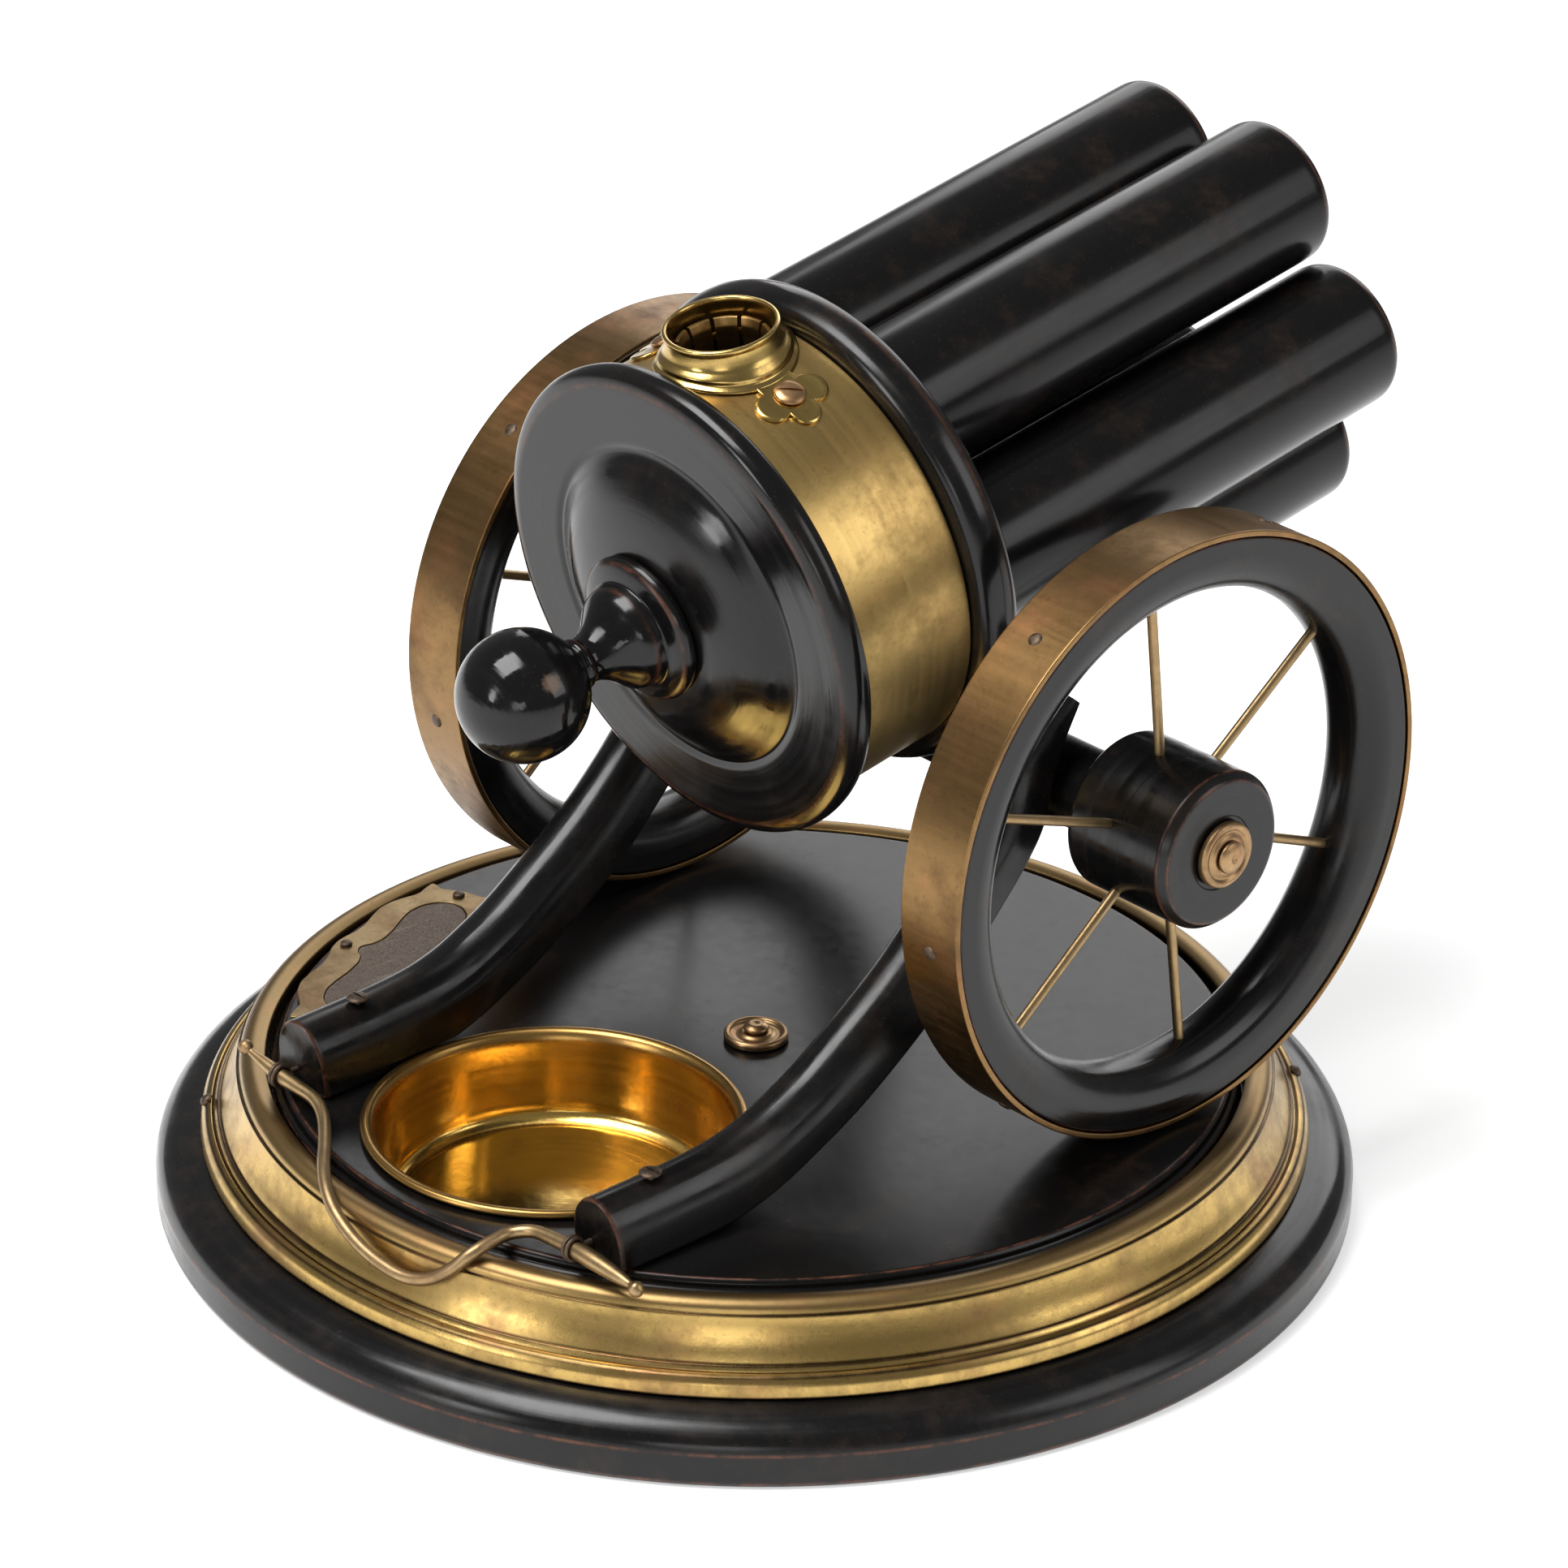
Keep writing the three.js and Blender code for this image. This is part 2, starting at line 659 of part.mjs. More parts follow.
function collarScrew(side) {
  const at = (out) => drumPoint(side * COLLAR.lugAngle, out, -0.4);
  const head = joined(rod(at(46.9), at(47.4), 2.6, 2.6, 14), rod(at(47.4), at(48), 2.6, 1.8, 14));
  const slot = new THREE.BoxGeometry(6, 0.9, 0.8)
    .translate(0, -48, 0)
    .rotateZ(rad(side * COLLAR.lugAngle))
    .translate(0, 0, -0.4);
  return onGun(joined(cut(head, solidOf(slot)), rod(at(41), at(47), 1)));
}

function drumScrew() {
  const at = (out) => drumPoint(150, out, -3.4);
  return onGun(joined(rod(at(45.8), at(46.6), 1.7, 1.2), rod(at(41), at(46), 0.6)));
}

// ---- rear lid ----------------------------------------------------------------------------------

const rearCover = () =>
  onGun(
    turned(
      [
        [4.3, -28.8], [14, -28.8], [20.5, -27.5], [26.5, -25.1], [31.8, -21.3], [33, -20.8],
        [34, -21.2], [46.4, -21.2], [48.4, -20.3], [49.2, -18.2], [48.6, -15.8], [47, -15],
        [43.6, -15], [43.6, -10.3], [41.4, -10.3], [41.4, -15], [26, -17.5], [4.3, -20.4],
      ],
      ROUND,
    ),
  );

const KNOB = { ball: 12.9, centre: -59.7 };

function knob() {
  const profile = [];
  for (let a = 0; a < 160; a += 14.45) {
    profile.push([KNOB.ball * Math.sin(rad(a)), KNOB.centre - KNOB.ball * Math.cos(rad(a))]);
  }
  profile.push(
    [4.4, -47.2], [5.1, -46.6], [5.1, -45.8], [4.5, -45.3], [4.9, -43.2], [6.2, -40.6], [8.2, -38.2],
    [9.8, -36.6], [10.6, -34.8], [10.8, -33], [12.2, -32.6], [14.2, -31.8], [15, -30.6], [14.8, -29.4],
    [14.2, -29.1], [4, -29.1], [4, -17.5], [0, -17.5],
  );
  return onGun(turned(profile, 14));
}

// ---- the assembly ------------------------------------------------------------------------------

const root = new THREE.Group();
root.name = "field_gun_stand";

function add(name, solid, colour) {
  const made = solid.getMesh();
  const positions = [];
  for (let i = 0; i < made.numVert; i += 1) {
    positions.push(...made.vertProperties.slice(i * made.numProp, i * made.numProp + 3));
  }
  const geometry = new THREE.BufferGeometry();
  geometry.setAttribute("position", new THREE.Float32BufferAttribute(positions, 3));
  geometry.setIndex([...made.triVerts]);
  geometry.computeVertexNormals();
  const mesh = new THREE.Mesh(geometry, new THREE.MeshStandardMaterial({ color: COLOURS[colour] }));
  mesh.name = name;
  root.add(mesh);
}

add("plinth", plinth(), "wood");
add("brass_moulding", brassMoulding(), "brass");
MOULDING_PINS.forEach((angle, i) => add(`moulding_pin_${i + 1}`, mouldingPin(angle, 0.6, 1.5, -5), "dark"));
add("pivot_bolt", pivotBolt(), "copper");
add("centre_rosette", centreRosette(), "copper");

add("top_disc", topDisc(), "wood");
add("ash_cup", ashCup(), "brass");
add("striker_frame", strikerFrame(), "brass");
add("striker_pad", strikerPad(), "pad");
STRIKER_PINS.forEach((_, i) => add(`striker_pin_${i + 1}`, strikerPin(i), "dark"));

add("axle_tree", axleTree(), "wood");
add("trail_bar", trailBar(), "brass");
for (const [side, word] of [[-1, "left"], [1, "right"]]) {
  add(`trail_arm_${word}`, trailArm(side), "wood");
  add(`trail_screw_${word}`, trailScrew(side), "dark");
  add(`bar_tie_${word}`, barTie(side), "dark");
  add(`axle_spindle_${word}`, axleSpindle(side), "copper");
  add(`hub_washer_${word}`, hubWasher(side), "copper");
  add(`rim_${word}`, wheelRim(side), "wood");
  add(`tyre_${word}`, tyre(side), "brass");
  add(`hub_${word}`, wheelHub(side), "wood");
  for (let i = 0; i < WHEEL.spokes; i += 1) {
    add(`spoke_${word}_${i + 1}`, spoke(side, i, 13.5, 51, 1), "brass");
  }
  add(`collar_screw_${word}`, collarScrew(side), "copper");
}

add("drum_band", drumBand(), "brass");
add("drum_wall", drumWall(), "wood");
add("front_flange", frontFlange(), "wood");
for (let i = 0; i < BARREL.count; i += 1) add(`barrel_${i + 1}`, barrel(i), "wood");
add("collar", collar(), "brass");
add("finger_socket", fingerSocket(), "brass");
add("drum_screw", drumScrew(), "dark");
add("rear_cover", rearCover(), "wood");
add("knob", knob(), "wood");

export default root;
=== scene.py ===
"""Looks of the field gun cigar stand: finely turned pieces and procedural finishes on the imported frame."""

import math

import bmesh
import bpy
from mathutils import Matrix, Vector


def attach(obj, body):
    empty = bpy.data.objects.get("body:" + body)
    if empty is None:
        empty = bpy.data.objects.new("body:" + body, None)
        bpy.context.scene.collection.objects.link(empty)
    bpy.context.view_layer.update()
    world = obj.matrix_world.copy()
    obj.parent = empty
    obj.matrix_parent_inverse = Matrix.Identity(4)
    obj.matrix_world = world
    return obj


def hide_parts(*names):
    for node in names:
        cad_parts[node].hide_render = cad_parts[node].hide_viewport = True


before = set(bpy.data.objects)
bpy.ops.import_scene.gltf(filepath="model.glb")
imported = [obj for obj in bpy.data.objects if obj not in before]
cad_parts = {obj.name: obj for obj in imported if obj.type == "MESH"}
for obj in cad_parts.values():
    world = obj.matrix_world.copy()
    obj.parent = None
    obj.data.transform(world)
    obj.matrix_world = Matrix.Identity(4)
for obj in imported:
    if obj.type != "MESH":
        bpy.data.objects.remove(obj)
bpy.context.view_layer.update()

# ---- dimensions, in millimetres as the CAD part states them ------------------------------------

MM = 0.001
GUN_Y, GUN_Z, TILT = -0.9, 134.4, 0.1842
WHEEL_Y, WHEEL_Z, SPOKE_PLANE = 38.4, 92.3, 73
CUP_X, CUP_Y = 1, -53.3
DRUM_RADIUS = 45.5
COLLAR_T, LUG_DEGREES = -0.5, 22.3
SIDES = {"left": -1, "right": 1}
SPOKE_DEGREES = {"right": [37, 97, 160.5, 219, 278, 338], "left": [40, 100, 160, 220, 280, 340]}
TYRE_PINS = {"right": [12, 67, 126, 186.5, 229, 304], "left": [11, 71, 131, 191, 232, 311]}
BARREL_COUNT, BARREL_CIRCLE = 6, 31.5

GUN = Matrix.Translation((0, GUN_Y * MM, GUN_Z * MM)) @ Matrix.Rotation(TILT - math.pi / 2, 4, "X")
CUP = Matrix.Translation((CUP_X * MM, CUP_Y * MM, 0))
UPRIGHT = Matrix.Identity(4)


def wheel_frame(side):
    """Local Z points outward along the axle."""
    place = Matrix.Translation((0, WHEEL_Y * MM, WHEEL_Z * MM))
    return place @ Matrix.Rotation(side * math.pi / 2, 4, "Y")


def wheel_point(side, degrees, radius):
    """A point in the plane of the spokes, its angle counted from +Y toward +Z."""
    angle = math.radians(degrees)
    out = Vector((0, math.cos(angle), math.sin(angle)))
    return Vector((side * SPOKE_PLANE, WHEEL_Y, WHEEL_Z)) + out * radius


def barrel_frame(index):
    """Local Z runs along a barrel to its muzzle."""
    angle = math.radians(30 + 360 / BARREL_COUNT * index)
    place = Vector((BARREL_CIRCLE * math.sin(angle), -BARREL_CIRCLE * math.cos(angle), 0)) * MM
    return GUN @ Matrix.Translation(place)


def drum_frame(degrees, t):
    """Local Z points out of the drum at an angle from its top toward +X, and local Y back along the gun."""
    turn = Matrix.Rotation(math.radians(degrees), 4, "Z") @ Matrix.Rotation(math.pi / 2, 4, "X")
    return GUN @ Matrix.Translation((0, 0, t * MM)) @ turn


def along(start, end):
    """A frame at start whose local Z points toward end, and the distance between them, in millimetres."""
    way = Vector(end) - Vector(start)
    turn = way.to_track_quat("Z", "Y").to_matrix().to_4x4()
    return Matrix.Translation(Vector(start) * MM) @ turn, way.length


# ---- mesh making ----------------------------------------------------------------------------------


def rounded(points, closed=False, soft=0.25):
    """Corners of [x, y, softness, wear] replaced by small arcs. Gives (x, y, wear) along the outline."""
    made = []
    count = len(points)
    for i, point in enumerate(points):
        here = Vector(point[:2])
        reach = point[2] if len(point) > 2 else soft
        wear = point[3] if len(point) > 3 else 0
        if not closed and i in (0, count - 1):
            made.append((here.x, here.y, 0))
            continue
        back = Vector(points[i - 1][:2]) - here
        ahead = Vector(points[(i + 1) % count][:2]) - here
        turn = back.angle(-ahead)
        if turn < 0.03:
            made.append((here.x, here.y, wear))
            continue
        reach = min(reach, 0.46 * back.length, 0.46 * ahead.length)
        first = here + back.normalized() * reach
        last = here + ahead.normalized() * reach
        if back.length > 2 * reach + 0.9:
            guard = here + back.normalized() * (reach + 0.4)
            made.append((guard.x, guard.y, 0))
        steps = max(2, min(6, math.ceil(turn / 0.22)))
        for k in range(steps + 1):
            s = k / steps
            p = first * (1 - s) ** 2 + here * 2 * s * (1 - s) + last * s * s
            made.append((p.x, p.y, wear * max(0.0, 1 - 1.3 * abs(2 * s - 1))))
        if ahead.length > 2 * reach + 0.9:
            guard = here + ahead.normalized() * (reach + 0.4)
            made.append((guard.x, guard.y, 0))
    return made


def piece_from(name, points, faces, wear=None, matrix=UPRIGHT, sharp=38):
    """A mesh object from points in millimetres, its normals turned outward and its sharp edges marked."""
    mesh = bpy.data.meshes.new(name)
    mesh.from_pydata([Vector(p) * MM for p in points], [], faces)
    if wear:
        layer = mesh.attributes.new("wear", "FLOAT", "POINT")
        layer.data.foreach_set("value", wear)
    build = bmesh.new()
    build.from_mesh(mesh)
    bmesh.ops.recalc_face_normals(build, faces=build.faces)
    build.to_mesh(mesh)
    build.free()
    made = bpy.data.objects.new(name, mesh)
    bpy.context.scene.collection.objects.link(made)
    made.matrix_world = matrix
    smooth(made, sharp)
    return made


def smooth(piece, sharp=38):
    """Smooth shading, with edges sharper than an angle in degrees kept crisp."""
    piece.data.polygons.foreach_set("use_smooth", [True] * len(piece.data.polygons))
    piece.data.set_sharp_from_angle(angle=math.radians(sharp))


def turned(name, profile, matrix=UPRIGHT, segments=128, closed=False, soft=0.25, shape=None):
    """A profile of [radius, height] pairs turned about local Z; shape may move each point afterwards."""
    outline = rounded(profile, closed, soft)
    points, wear, rings = [], [], []
    for r, h, worn in outline:
        count = 1 if r < 1e-6 else segments
        rings.append([len(points) + k for k in range(count)])
        for k in range(count):
            angle = 2 * math.pi * k / segments
            p = (r * math.cos(angle), r * math.sin(angle), h)
            points.append(shape(*p) if shape else p)
            wear.append(float(worn))
    faces = []
    pairs = list(zip(rings, rings[1:]))
    if closed:
        pairs.append((rings[-1], rings[0]))
    for low, high in pairs:
        for k in range(segments):
            a, b = k, (k + 1) % segments
            if len(low) == 1 and len(high) == 1:
                continue
            if len(low) == 1:
                faces.append((low[0], high[b], high[a]))
            elif len(high) == 1:
                faces.append((low[a], low[b], high[0]))
            else:
                faces.append((low[a], low[b], high[b], high[a]))
    return piece_from(name, points, faces, wear, matrix)


def rod(name, start, end, radius, segments=24, soft=0.2):
    """A round bar between two points in millimetres."""
    matrix, length = along(start, end)
    return turned(name, [[0, 0], [radius, 0], [radius, length], [0, length]], matrix, segments, soft=soft)


def spline(stations, steps):
    """Smooth points through rows of numbers."""
    rows = [Vector(s) for s in stations]
    made = []
    for i in range(len(rows) - 1):
        a, b = rows[max(0, i - 1)], rows[i]
        c, d = rows[i + 1], rows[min(len(rows) - 1, i + 2)]
        for k in range(steps):
            s = k / steps
            square, cube = (2 * a - 5 * b + 4 * c - d) * s * s, (3 * b - a - 3 * c + d) * s**3
            made.append(0.5 * (2 * b + (c - a) * s + square + cube))
    made.append(rows[-1])
    return made


def lofted(name, rings, wear=None):
    """A skin over rings of equal size, with flat ends."""
    count = len(rings[0])
    points = [p for ring in rings for p in ring]
    faces = []
    last = len(rings) - 1
    for i in range(last):
        for k in range(count):
            a, b = i * count + k, i * count + (k + 1) % count
            faces.append((a, b, b + count, a + count))
    faces.append(tuple(range(count)))
    faces.append(tuple(last * count + k for k in range(count)))
    return piece_from(name, points, faces, wear)


def tube(name, path, sides):
    """A round wire along rows of [x, y, z, radius]."""
    across = Vector((0.3, 0.2, 1))
    rings = []
    for i, row in enumerate(path):
        before = path[max(0, i - 1)]
        after = path[min(len(path) - 1, i + 1)]
        way = (Vector(after[:3]) - Vector(before[:3])).normalized()
        across = (across - way * across.dot(way)).normalized()
        third = way.cross(across)
        ring = []
        for k in range(sides):
            angle = 2 * math.pi * k / sides
            ring.append(Vector(row[:3]) + (across * math.cos(angle) + third * math.sin(angle)) * row[3])
        rings.append(ring)
    return lofted(name, rings)


def plate(name, outline, low, high, hole=None, edge=0.15):
    """A flat plate with softly rounded edges; outlines are [x, y] lists."""
    curve = bpy.data.curves.new(name, "CURVE")
    curve.dimensions = "2D"
    curve.fill_mode = "BOTH"
    curve.extrude = ((high - low) / 2 - edge) * MM
    curve.bevel_depth = edge * MM
    curve.bevel_resolution = 2
    curve.offset = -edge * MM
    for line in [outline] + ([hole] if hole else []):
        path = curve.splines.new("POLY")
        path.points.add(len(line) - 1)
        for point, (x, y) in zip(path.points, line):
            point.co = (x * MM, y * MM, 0, 1)
        path.use_cyclic_u = True
    drawn = bpy.data.objects.new(name + "_curve", curve)
    bpy.context.scene.collection.objects.link(drawn)
    mesh = bpy.data.meshes.new_from_object(drawn.evaluated_get(bpy.context.evaluated_depsgraph_get()))
    bpy.data.objects.remove(drawn)
    made = bpy.data.objects.new(name, mesh)
    bpy.context.scene.collection.objects.link(made)
    mesh.transform(Matrix.Translation((0, 0, (low + high) / 2 * MM)))
    smooth(made, 60)
    return made


def box_tool(size, centre, matrix=UPRIGHT):
    """A box to cut or join with, sized and placed in millimetres."""
    build = bmesh.new()
    bmesh.ops.create_cube(build, size=1)
    bmesh.ops.scale(build, vec=Vector(size) * MM, verts=build.verts)
    mesh = bpy.data.meshes.new("tool")
    build.to_mesh(mesh)
    build.free()
    made = bpy.data.objects.new("tool", mesh)
    bpy.context.scene.collection.objects.link(made)
    made.matrix_world = matrix @ Matrix.Translation(Vector(centre) * MM)
    return made


def combine(piece, tools, operation="DIFFERENCE"):
    """Cuts tools out of a piece, or joins them to it, and removes the tools."""
    bpy.context.view_layer.update()
    for tool in tools:
        step = piece.modifiers.new("step", "BOOLEAN")
        step.operation = operation
        step.solver = "EXACT"
        step.object = tool
    mesh = bpy.data.meshes.new_from_object(piece.evaluated_get(bpy.context.evaluated_depsgraph_get()))
    piece.modifiers.clear()
    piece.data = mesh
    for tool in tools:
        bpy.data.objects.remove(tool)
    smooth(piece)
    return piece


# ---- finishes -------------------------------------------------------------------------------------


class Finish:
    """A Principled material with short ways to add the nodes that vary it."""

    def __init__(self, name):
        self.material = bpy.data.materials.new(name)
        self.material.use_nodes = True
        self.tree = self.material.node_tree
        self.shader = self.tree.nodes["Principled BSDF"]
        self.place = self.node("ShaderNodeTexCoord").outputs["Object"]

    def node(self, kind, inputs=None, **settings):
        made = self.tree.nodes.new(kind)
        for key, value in settings.items():
            setattr(made, key, value)
        for key, value in (inputs or {}).items():
            if isinstance(value, bpy.types.NodeSocket):
                self.tree.links.new(value, made.inputs[key])
            else:
                made.inputs[key].default_value = value
        return made

    def math(self, operation, a, b=0.0, c=0.0):
        inputs = {0: a, 1: b}
        if operation == "MULTIPLY_ADD":
            inputs[2] = c
        return self.node("ShaderNodeMath", inputs, operation=operation).outputs[0]

    def noise(self, scale, detail=4.0, rough=0.55, vector=None, distortion=0.0):
        inputs = {
            "Vector": vector or self.place,
            "Scale": scale,
            "Detail": detail,
            "Roughness": rough,
            "Distortion": distortion,
        }
        return self.node("ShaderNodeTexNoise", inputs).outputs["Fac"]

    def between(self, value, low, high, out_low=0.0, out_high=1.0):
        """value from low to high, mapped to the output range and held there."""
        inputs = {"Value": value, "From Min": low, "From Max": high, "To Min": out_low, "To Max": out_high}
        return self.node("ShaderNodeMapRange", inputs).outputs["Result"]

    def mix(self, factor, a, b):
        made = self.node("ShaderNodeMix", data_type="RGBA")
        for slot, value in ((0, factor), (6, a), (7, b)):
            if isinstance(value, bpy.types.NodeSocket):
                self.tree.links.new(value, made.inputs[slot])
            else:
                made.inputs[slot].default_value = value if slot == 0 else (*value, 1)
        return made.outputs[2]

    def stretched(self, scale):
        return self.node("ShaderNodeMapping", {"Vector": self.place, "Scale": scale}).outputs["Vector"]

    def lathe_marks(self, spread=0.03):
        """Coordinates that stay almost the same around local Z, for turning marks and circular brushing."""
        parts = self.node("ShaderNodeSeparateXYZ", {"Vector": self.place})
        x, y, z = parts.outputs
        flat = self.node("ShaderNodeCombineXYZ", {"X": x, "Y": y}).outputs["Vector"]
        radius = self.node("ShaderNodeVectorMath", {0: flat}, operation="LENGTH").outputs["Value"]
        turn = self.math("MULTIPLY_ADD", x, spread, self.math("MULTIPLY", y, -spread))
        return self.node("ShaderNodeCombineXYZ", {"X": radius, "Y": turn, "Z": z}).outputs["Vector"]

    def set(self, **values):
        for key, value in values.items():
            socket = self.shader.inputs[key.replace("_", " ")]
            if isinstance(value, bpy.types.NodeSocket):
                self.tree.links.new(value, socket)
            else:
                socket.default_value = value
        return self

    def bump(self, height, distance, strength=1.0):
        made = self.node("ShaderNodeBump", {"Height": height, "Distance": distance, "Strength": strength})
        self.tree.links.new(made.outputs["Normal"], self.shader.inputs["Normal"])


def ebonised(name, grain="turned", gloss=0.24, mottle=1.0, scuff=None, relief=1.0, shine=0.33):
    """Black-stained polished wood: brown showing through in clouds, fine tool marks, reddish worn edges.

    scuff is the place, in millimetres, of a small patch rubbed through to lighter wood. relief scales the
    unevenness of the polish, and shine is its specular level.
    """
    f = Finish(name)
    marks = f.lathe_marks() if grain == "turned" else f.stretched(grain)
    clouds = f.noise(55, 7, 0.65)
    rub = f.noise(310, 5, 0.6)
    fine = f.noise(1500, 3, 0.6, marks)
    streak = f.noise(420, 4, 0.55, marks)
    brown = f.math("MULTIPLY", f.between(clouds, 0.5, 0.74), f.between(rub, 0.4, 0.7, 0.1, mottle))
    colour = f.mix(brown, (0.0045, 0.0042, 0.0042), (0.026, 0.0155, 0.0105))
    specks = f.between(f.noise(1900, 2, 0.5), 0.66, 0.74, 0, 0.35)
    colour = f.mix(specks, colour, (0.045, 0.03, 0.02))
    worn = f.node("ShaderNodeAttribute", attribute_name="wear").outputs["Fac"]
    patch = f.math("MULTIPLY", worn, f.between(f.noise(170, 5, 0.7), 0.42, 0.64, 0.1, 1))
    colour = f.mix(patch, colour, (0.13, 0.046, 0.022))
    if scuff:
        offset = f.node("ShaderNodeVectorMath", {0: f.place, 1: Vector(scuff) * MM}, operation="DISTANCE")
        ragged = f.math("MULTIPLY_ADD", f.noise(900, 4, 0.7), 0.0026, offset.outputs["Value"])
        rubbed = f.between(ragged, 0.0024, 0.0034, 0.75, 0)
        colour = f.mix(rubbed, colour, (0.12, 0.075, 0.05))
        patch = f.math("MAXIMUM", patch, rubbed)
    rough = f.between(streak, 0.32, 0.68, gloss - 0.07 * relief, gloss + 0.1 * relief)
    rough = f.math("ADD", rough, f.between(clouds, 0.45, 0.7, 0, 0.12 * relief))
    rough = f.math("MULTIPLY_ADD", patch, 0.2, rough)
    f.set(Base_Color=colour, Roughness=rough, Specular_IOR_Level=shine)
    height = f.math("MULTIPLY_ADD", streak, 0.35, f.math("MULTIPLY", fine, 0.3))
    height = f.math("MULTIPLY_ADD", clouds, 0.8, height)
    f.bump(height, 0.00004 * relief)
    return f.material


def brass(name, bright, tarnish, amount=0.5, gloss=0.24, brush="turned", red=0.0, browned=(), crease_shade=()):
    """Old brass: tarnish in clouds and spots, brushing marks and small dents, browner toward some heights.

    browned holds [height where it starts, height where it is full] pairs, in millimetres along local Z, and
    the last argument holds the heights of creases, each given a thin dark line of painted shade.
    """
    f = Finish(name)
    marks = f.lathe_marks(0.012) if brush == "turned" else f.stretched(brush)
    clouds = f.noise(38, 6, 0.62, distortion=0.4)
    blotch = f.noise(190, 6, 0.7)
    lines = f.noise(700, 2, 0.5, marks)
    spots = f.between(f.noise(1100, 3, 0.55), 0.6, 0.7)
    level = f.math("MULTIPLY_ADD", blotch, 0.55, f.math("MULTIPLY", clouds, 0.75))
    dull = f.between(level, 0.76 - 0.3 * amount, 1.06 - 0.3 * amount)
    height = f.node("ShaderNodeSeparateXYZ", {"Vector": f.place}).outputs["Z"]
    ragged = f.math("MULTIPLY_ADD", blotch, 0.0012, height)
    for start, full in browned:
        band = f.between(ragged, (start + 0.6) * MM, (full + 0.6) * MM, 0, 0.85)
        dull = f.math("MAXIMUM", dull, band)
    colour = f.mix(dull, bright, tarnish)
    colour = f.mix(f.math("MULTIPLY", spots, 0.45 * amount), colour, tuple(0.45 * v for v in tarnish))
    # Painted shade: a thin dark line drawn along each crease height.
    for crease in crease_shade:
        away = f.math("ABSOLUTE", f.math("SUBTRACT", height, crease * MM))
        away = f.math("MULTIPLY_ADD", blotch, 0.0003, away)
        colour = f.mix(f.between(away, 0.00055, 0.0002, 0, 0.9), colour, (0.045, 0.026, 0.014))
    warm = f.between(f.noise(75, 4, 0.6), 0.5, 0.75, 0, red)
    colour = f.mix(warm, colour, (0.5, 0.2, 0.09))
    rough = f.math("ADD", f.between(dull, 0, 1, gloss, gloss + 0.16), f.between(lines, 0.3, 0.7, -0.02, 0.04))
    f.set(Base_Color=colour, Metallic=1.0, Roughness=rough)
    relief = f.math("MULTIPLY_ADD", lines, 0.1, f.math("MULTIPLY", blotch, 0.5))
    relief = f.math("MULTIPLY_ADD", clouds, 2.0, relief)
    f.bump(relief, 0.00006)
    return f.material


def iron(name):
    """Dark, rough, mottled iron of the nails, screws and ties."""
    f = Finish(name)
    mottling = f.noise(600, 5, 0.7)
    colour = f.mix(f.between(mottling, 0.35, 0.7), (0.05, 0.038, 0.029), (0.17, 0.115, 0.078))
    f.set(Base_Color=colour, Metallic=0.85, Roughness=f.between(mottling, 0.3, 0.7, 0.36, 0.6))
    f.bump(mottling, 0.0001)
    return f.material


def abrasive(name):
    """The striker's sandpaper-like pad, greyed and rubbed lighter in strokes."""
    f = Finish(name)
    grit = f.noise(2600, 4, 0.75)
    stain = f.noise(130, 5, 0.65)
    strokes = f.noise(500, 3, 0.6, f.stretched((1.0, 0.18, 1.0)))
    colour = f.mix(f.between(grit, 0.36, 0.66), (0.035, 0.026, 0.021), (0.19, 0.15, 0.12))
    colour = f.mix(f.between(stain, 0.35, 0.7, 0, 0.5), colour, (0.11, 0.085, 0.07))
    colour = f.mix(f.between(strokes, 0.58, 0.72, 0, 0.35), colour, (0.28, 0.24, 0.2))
    f.set(Base_Color=colour, Roughness=f.between(grit, 0.3, 0.7, 0.75, 0.95), Specular_IOR_Level=0.3)
    f.bump(grit, 0.0003)
    return f.material


OLIVE, BROWN = (0.27, 0.175, 0.062), (0.16, 0.095, 0.045)
WOOD = ebonised("wood_turned", gloss=0.19)
WOOD_GLOSSY = ebonised("wood_glossy", gloss=0.13, mottle=0.6)
WOOD_KNOB = ebonised("wood_knob", gloss=0.11, mottle=0.5, scuff=(10.8, -7.1, -60.3))
WOOD_DISC = ebonised("wood_disc", grain=(1.0, 1.0, 1.0), gloss=0.23, mottle=1.0, relief=0.3, shine=0.21)
WOOD_BARREL = ebonised("wood_barrel", grain=(1.0, 1.0, 0.06), gloss=0.18, relief=0.6, shine=0.24)
WOOD_ARM = ebonised("wood_arm", grain=(1.0, 0.12, 0.3), gloss=0.2, mottle=0.8)
BRASS_BAND = brass("brass_band", (0.5, 0.34, 0.125), OLIVE, 0.5, 0.33, "turned", red=0.1)
# The moulding's crease heights below get thin dark lines of painted shade.
BRASS_MOULDING = brass(
    "brass_moulding", (0.52, 0.35, 0.115), (0.2, 0.13, 0.058), 0.6, 0.24, "turned", red=0.2,
    browned=([26.9, 28.6],), crease_shade=(14, 17.7, 18.85, 27.2),
)
# The cup's crease height below gets a thin dark line of painted shade.
BRASS_CUP = brass(
    "brass_cup", (0.76, 0.5, 0.135), (0.34, 0.19, 0.06), 0.45, 0.15, "turned", red=0.15,
    browned=([28.9, 30.3], [13.3, 12.9]), crease_shade=(12.85,),
)
BRASS_TYRE = brass(
    "brass_tyre", (0.23, 0.135, 0.053), (0.11, 0.062, 0.028), 0.6, 0.3, (1.0, 1.0, 0.05), red=0.25,
)
BRASS_WIRE = brass(
    "brass_wire", (0.4, 0.28, 0.14), (0.2, 0.13, 0.07), 0.7, 0.36, (1.0, 1.0, 1.0), red=0.2,
)
BRASS_STRIKER = brass(
    "brass_striker", (0.3, 0.21, 0.1), BROWN, 0.8, 0.38, (1.0, 0.4, 1.0), red=0.2,
)
BRASS_COLLAR = brass("brass_collar", (0.56, 0.39, 0.13), OLIVE, 0.5, 0.2, "turned")
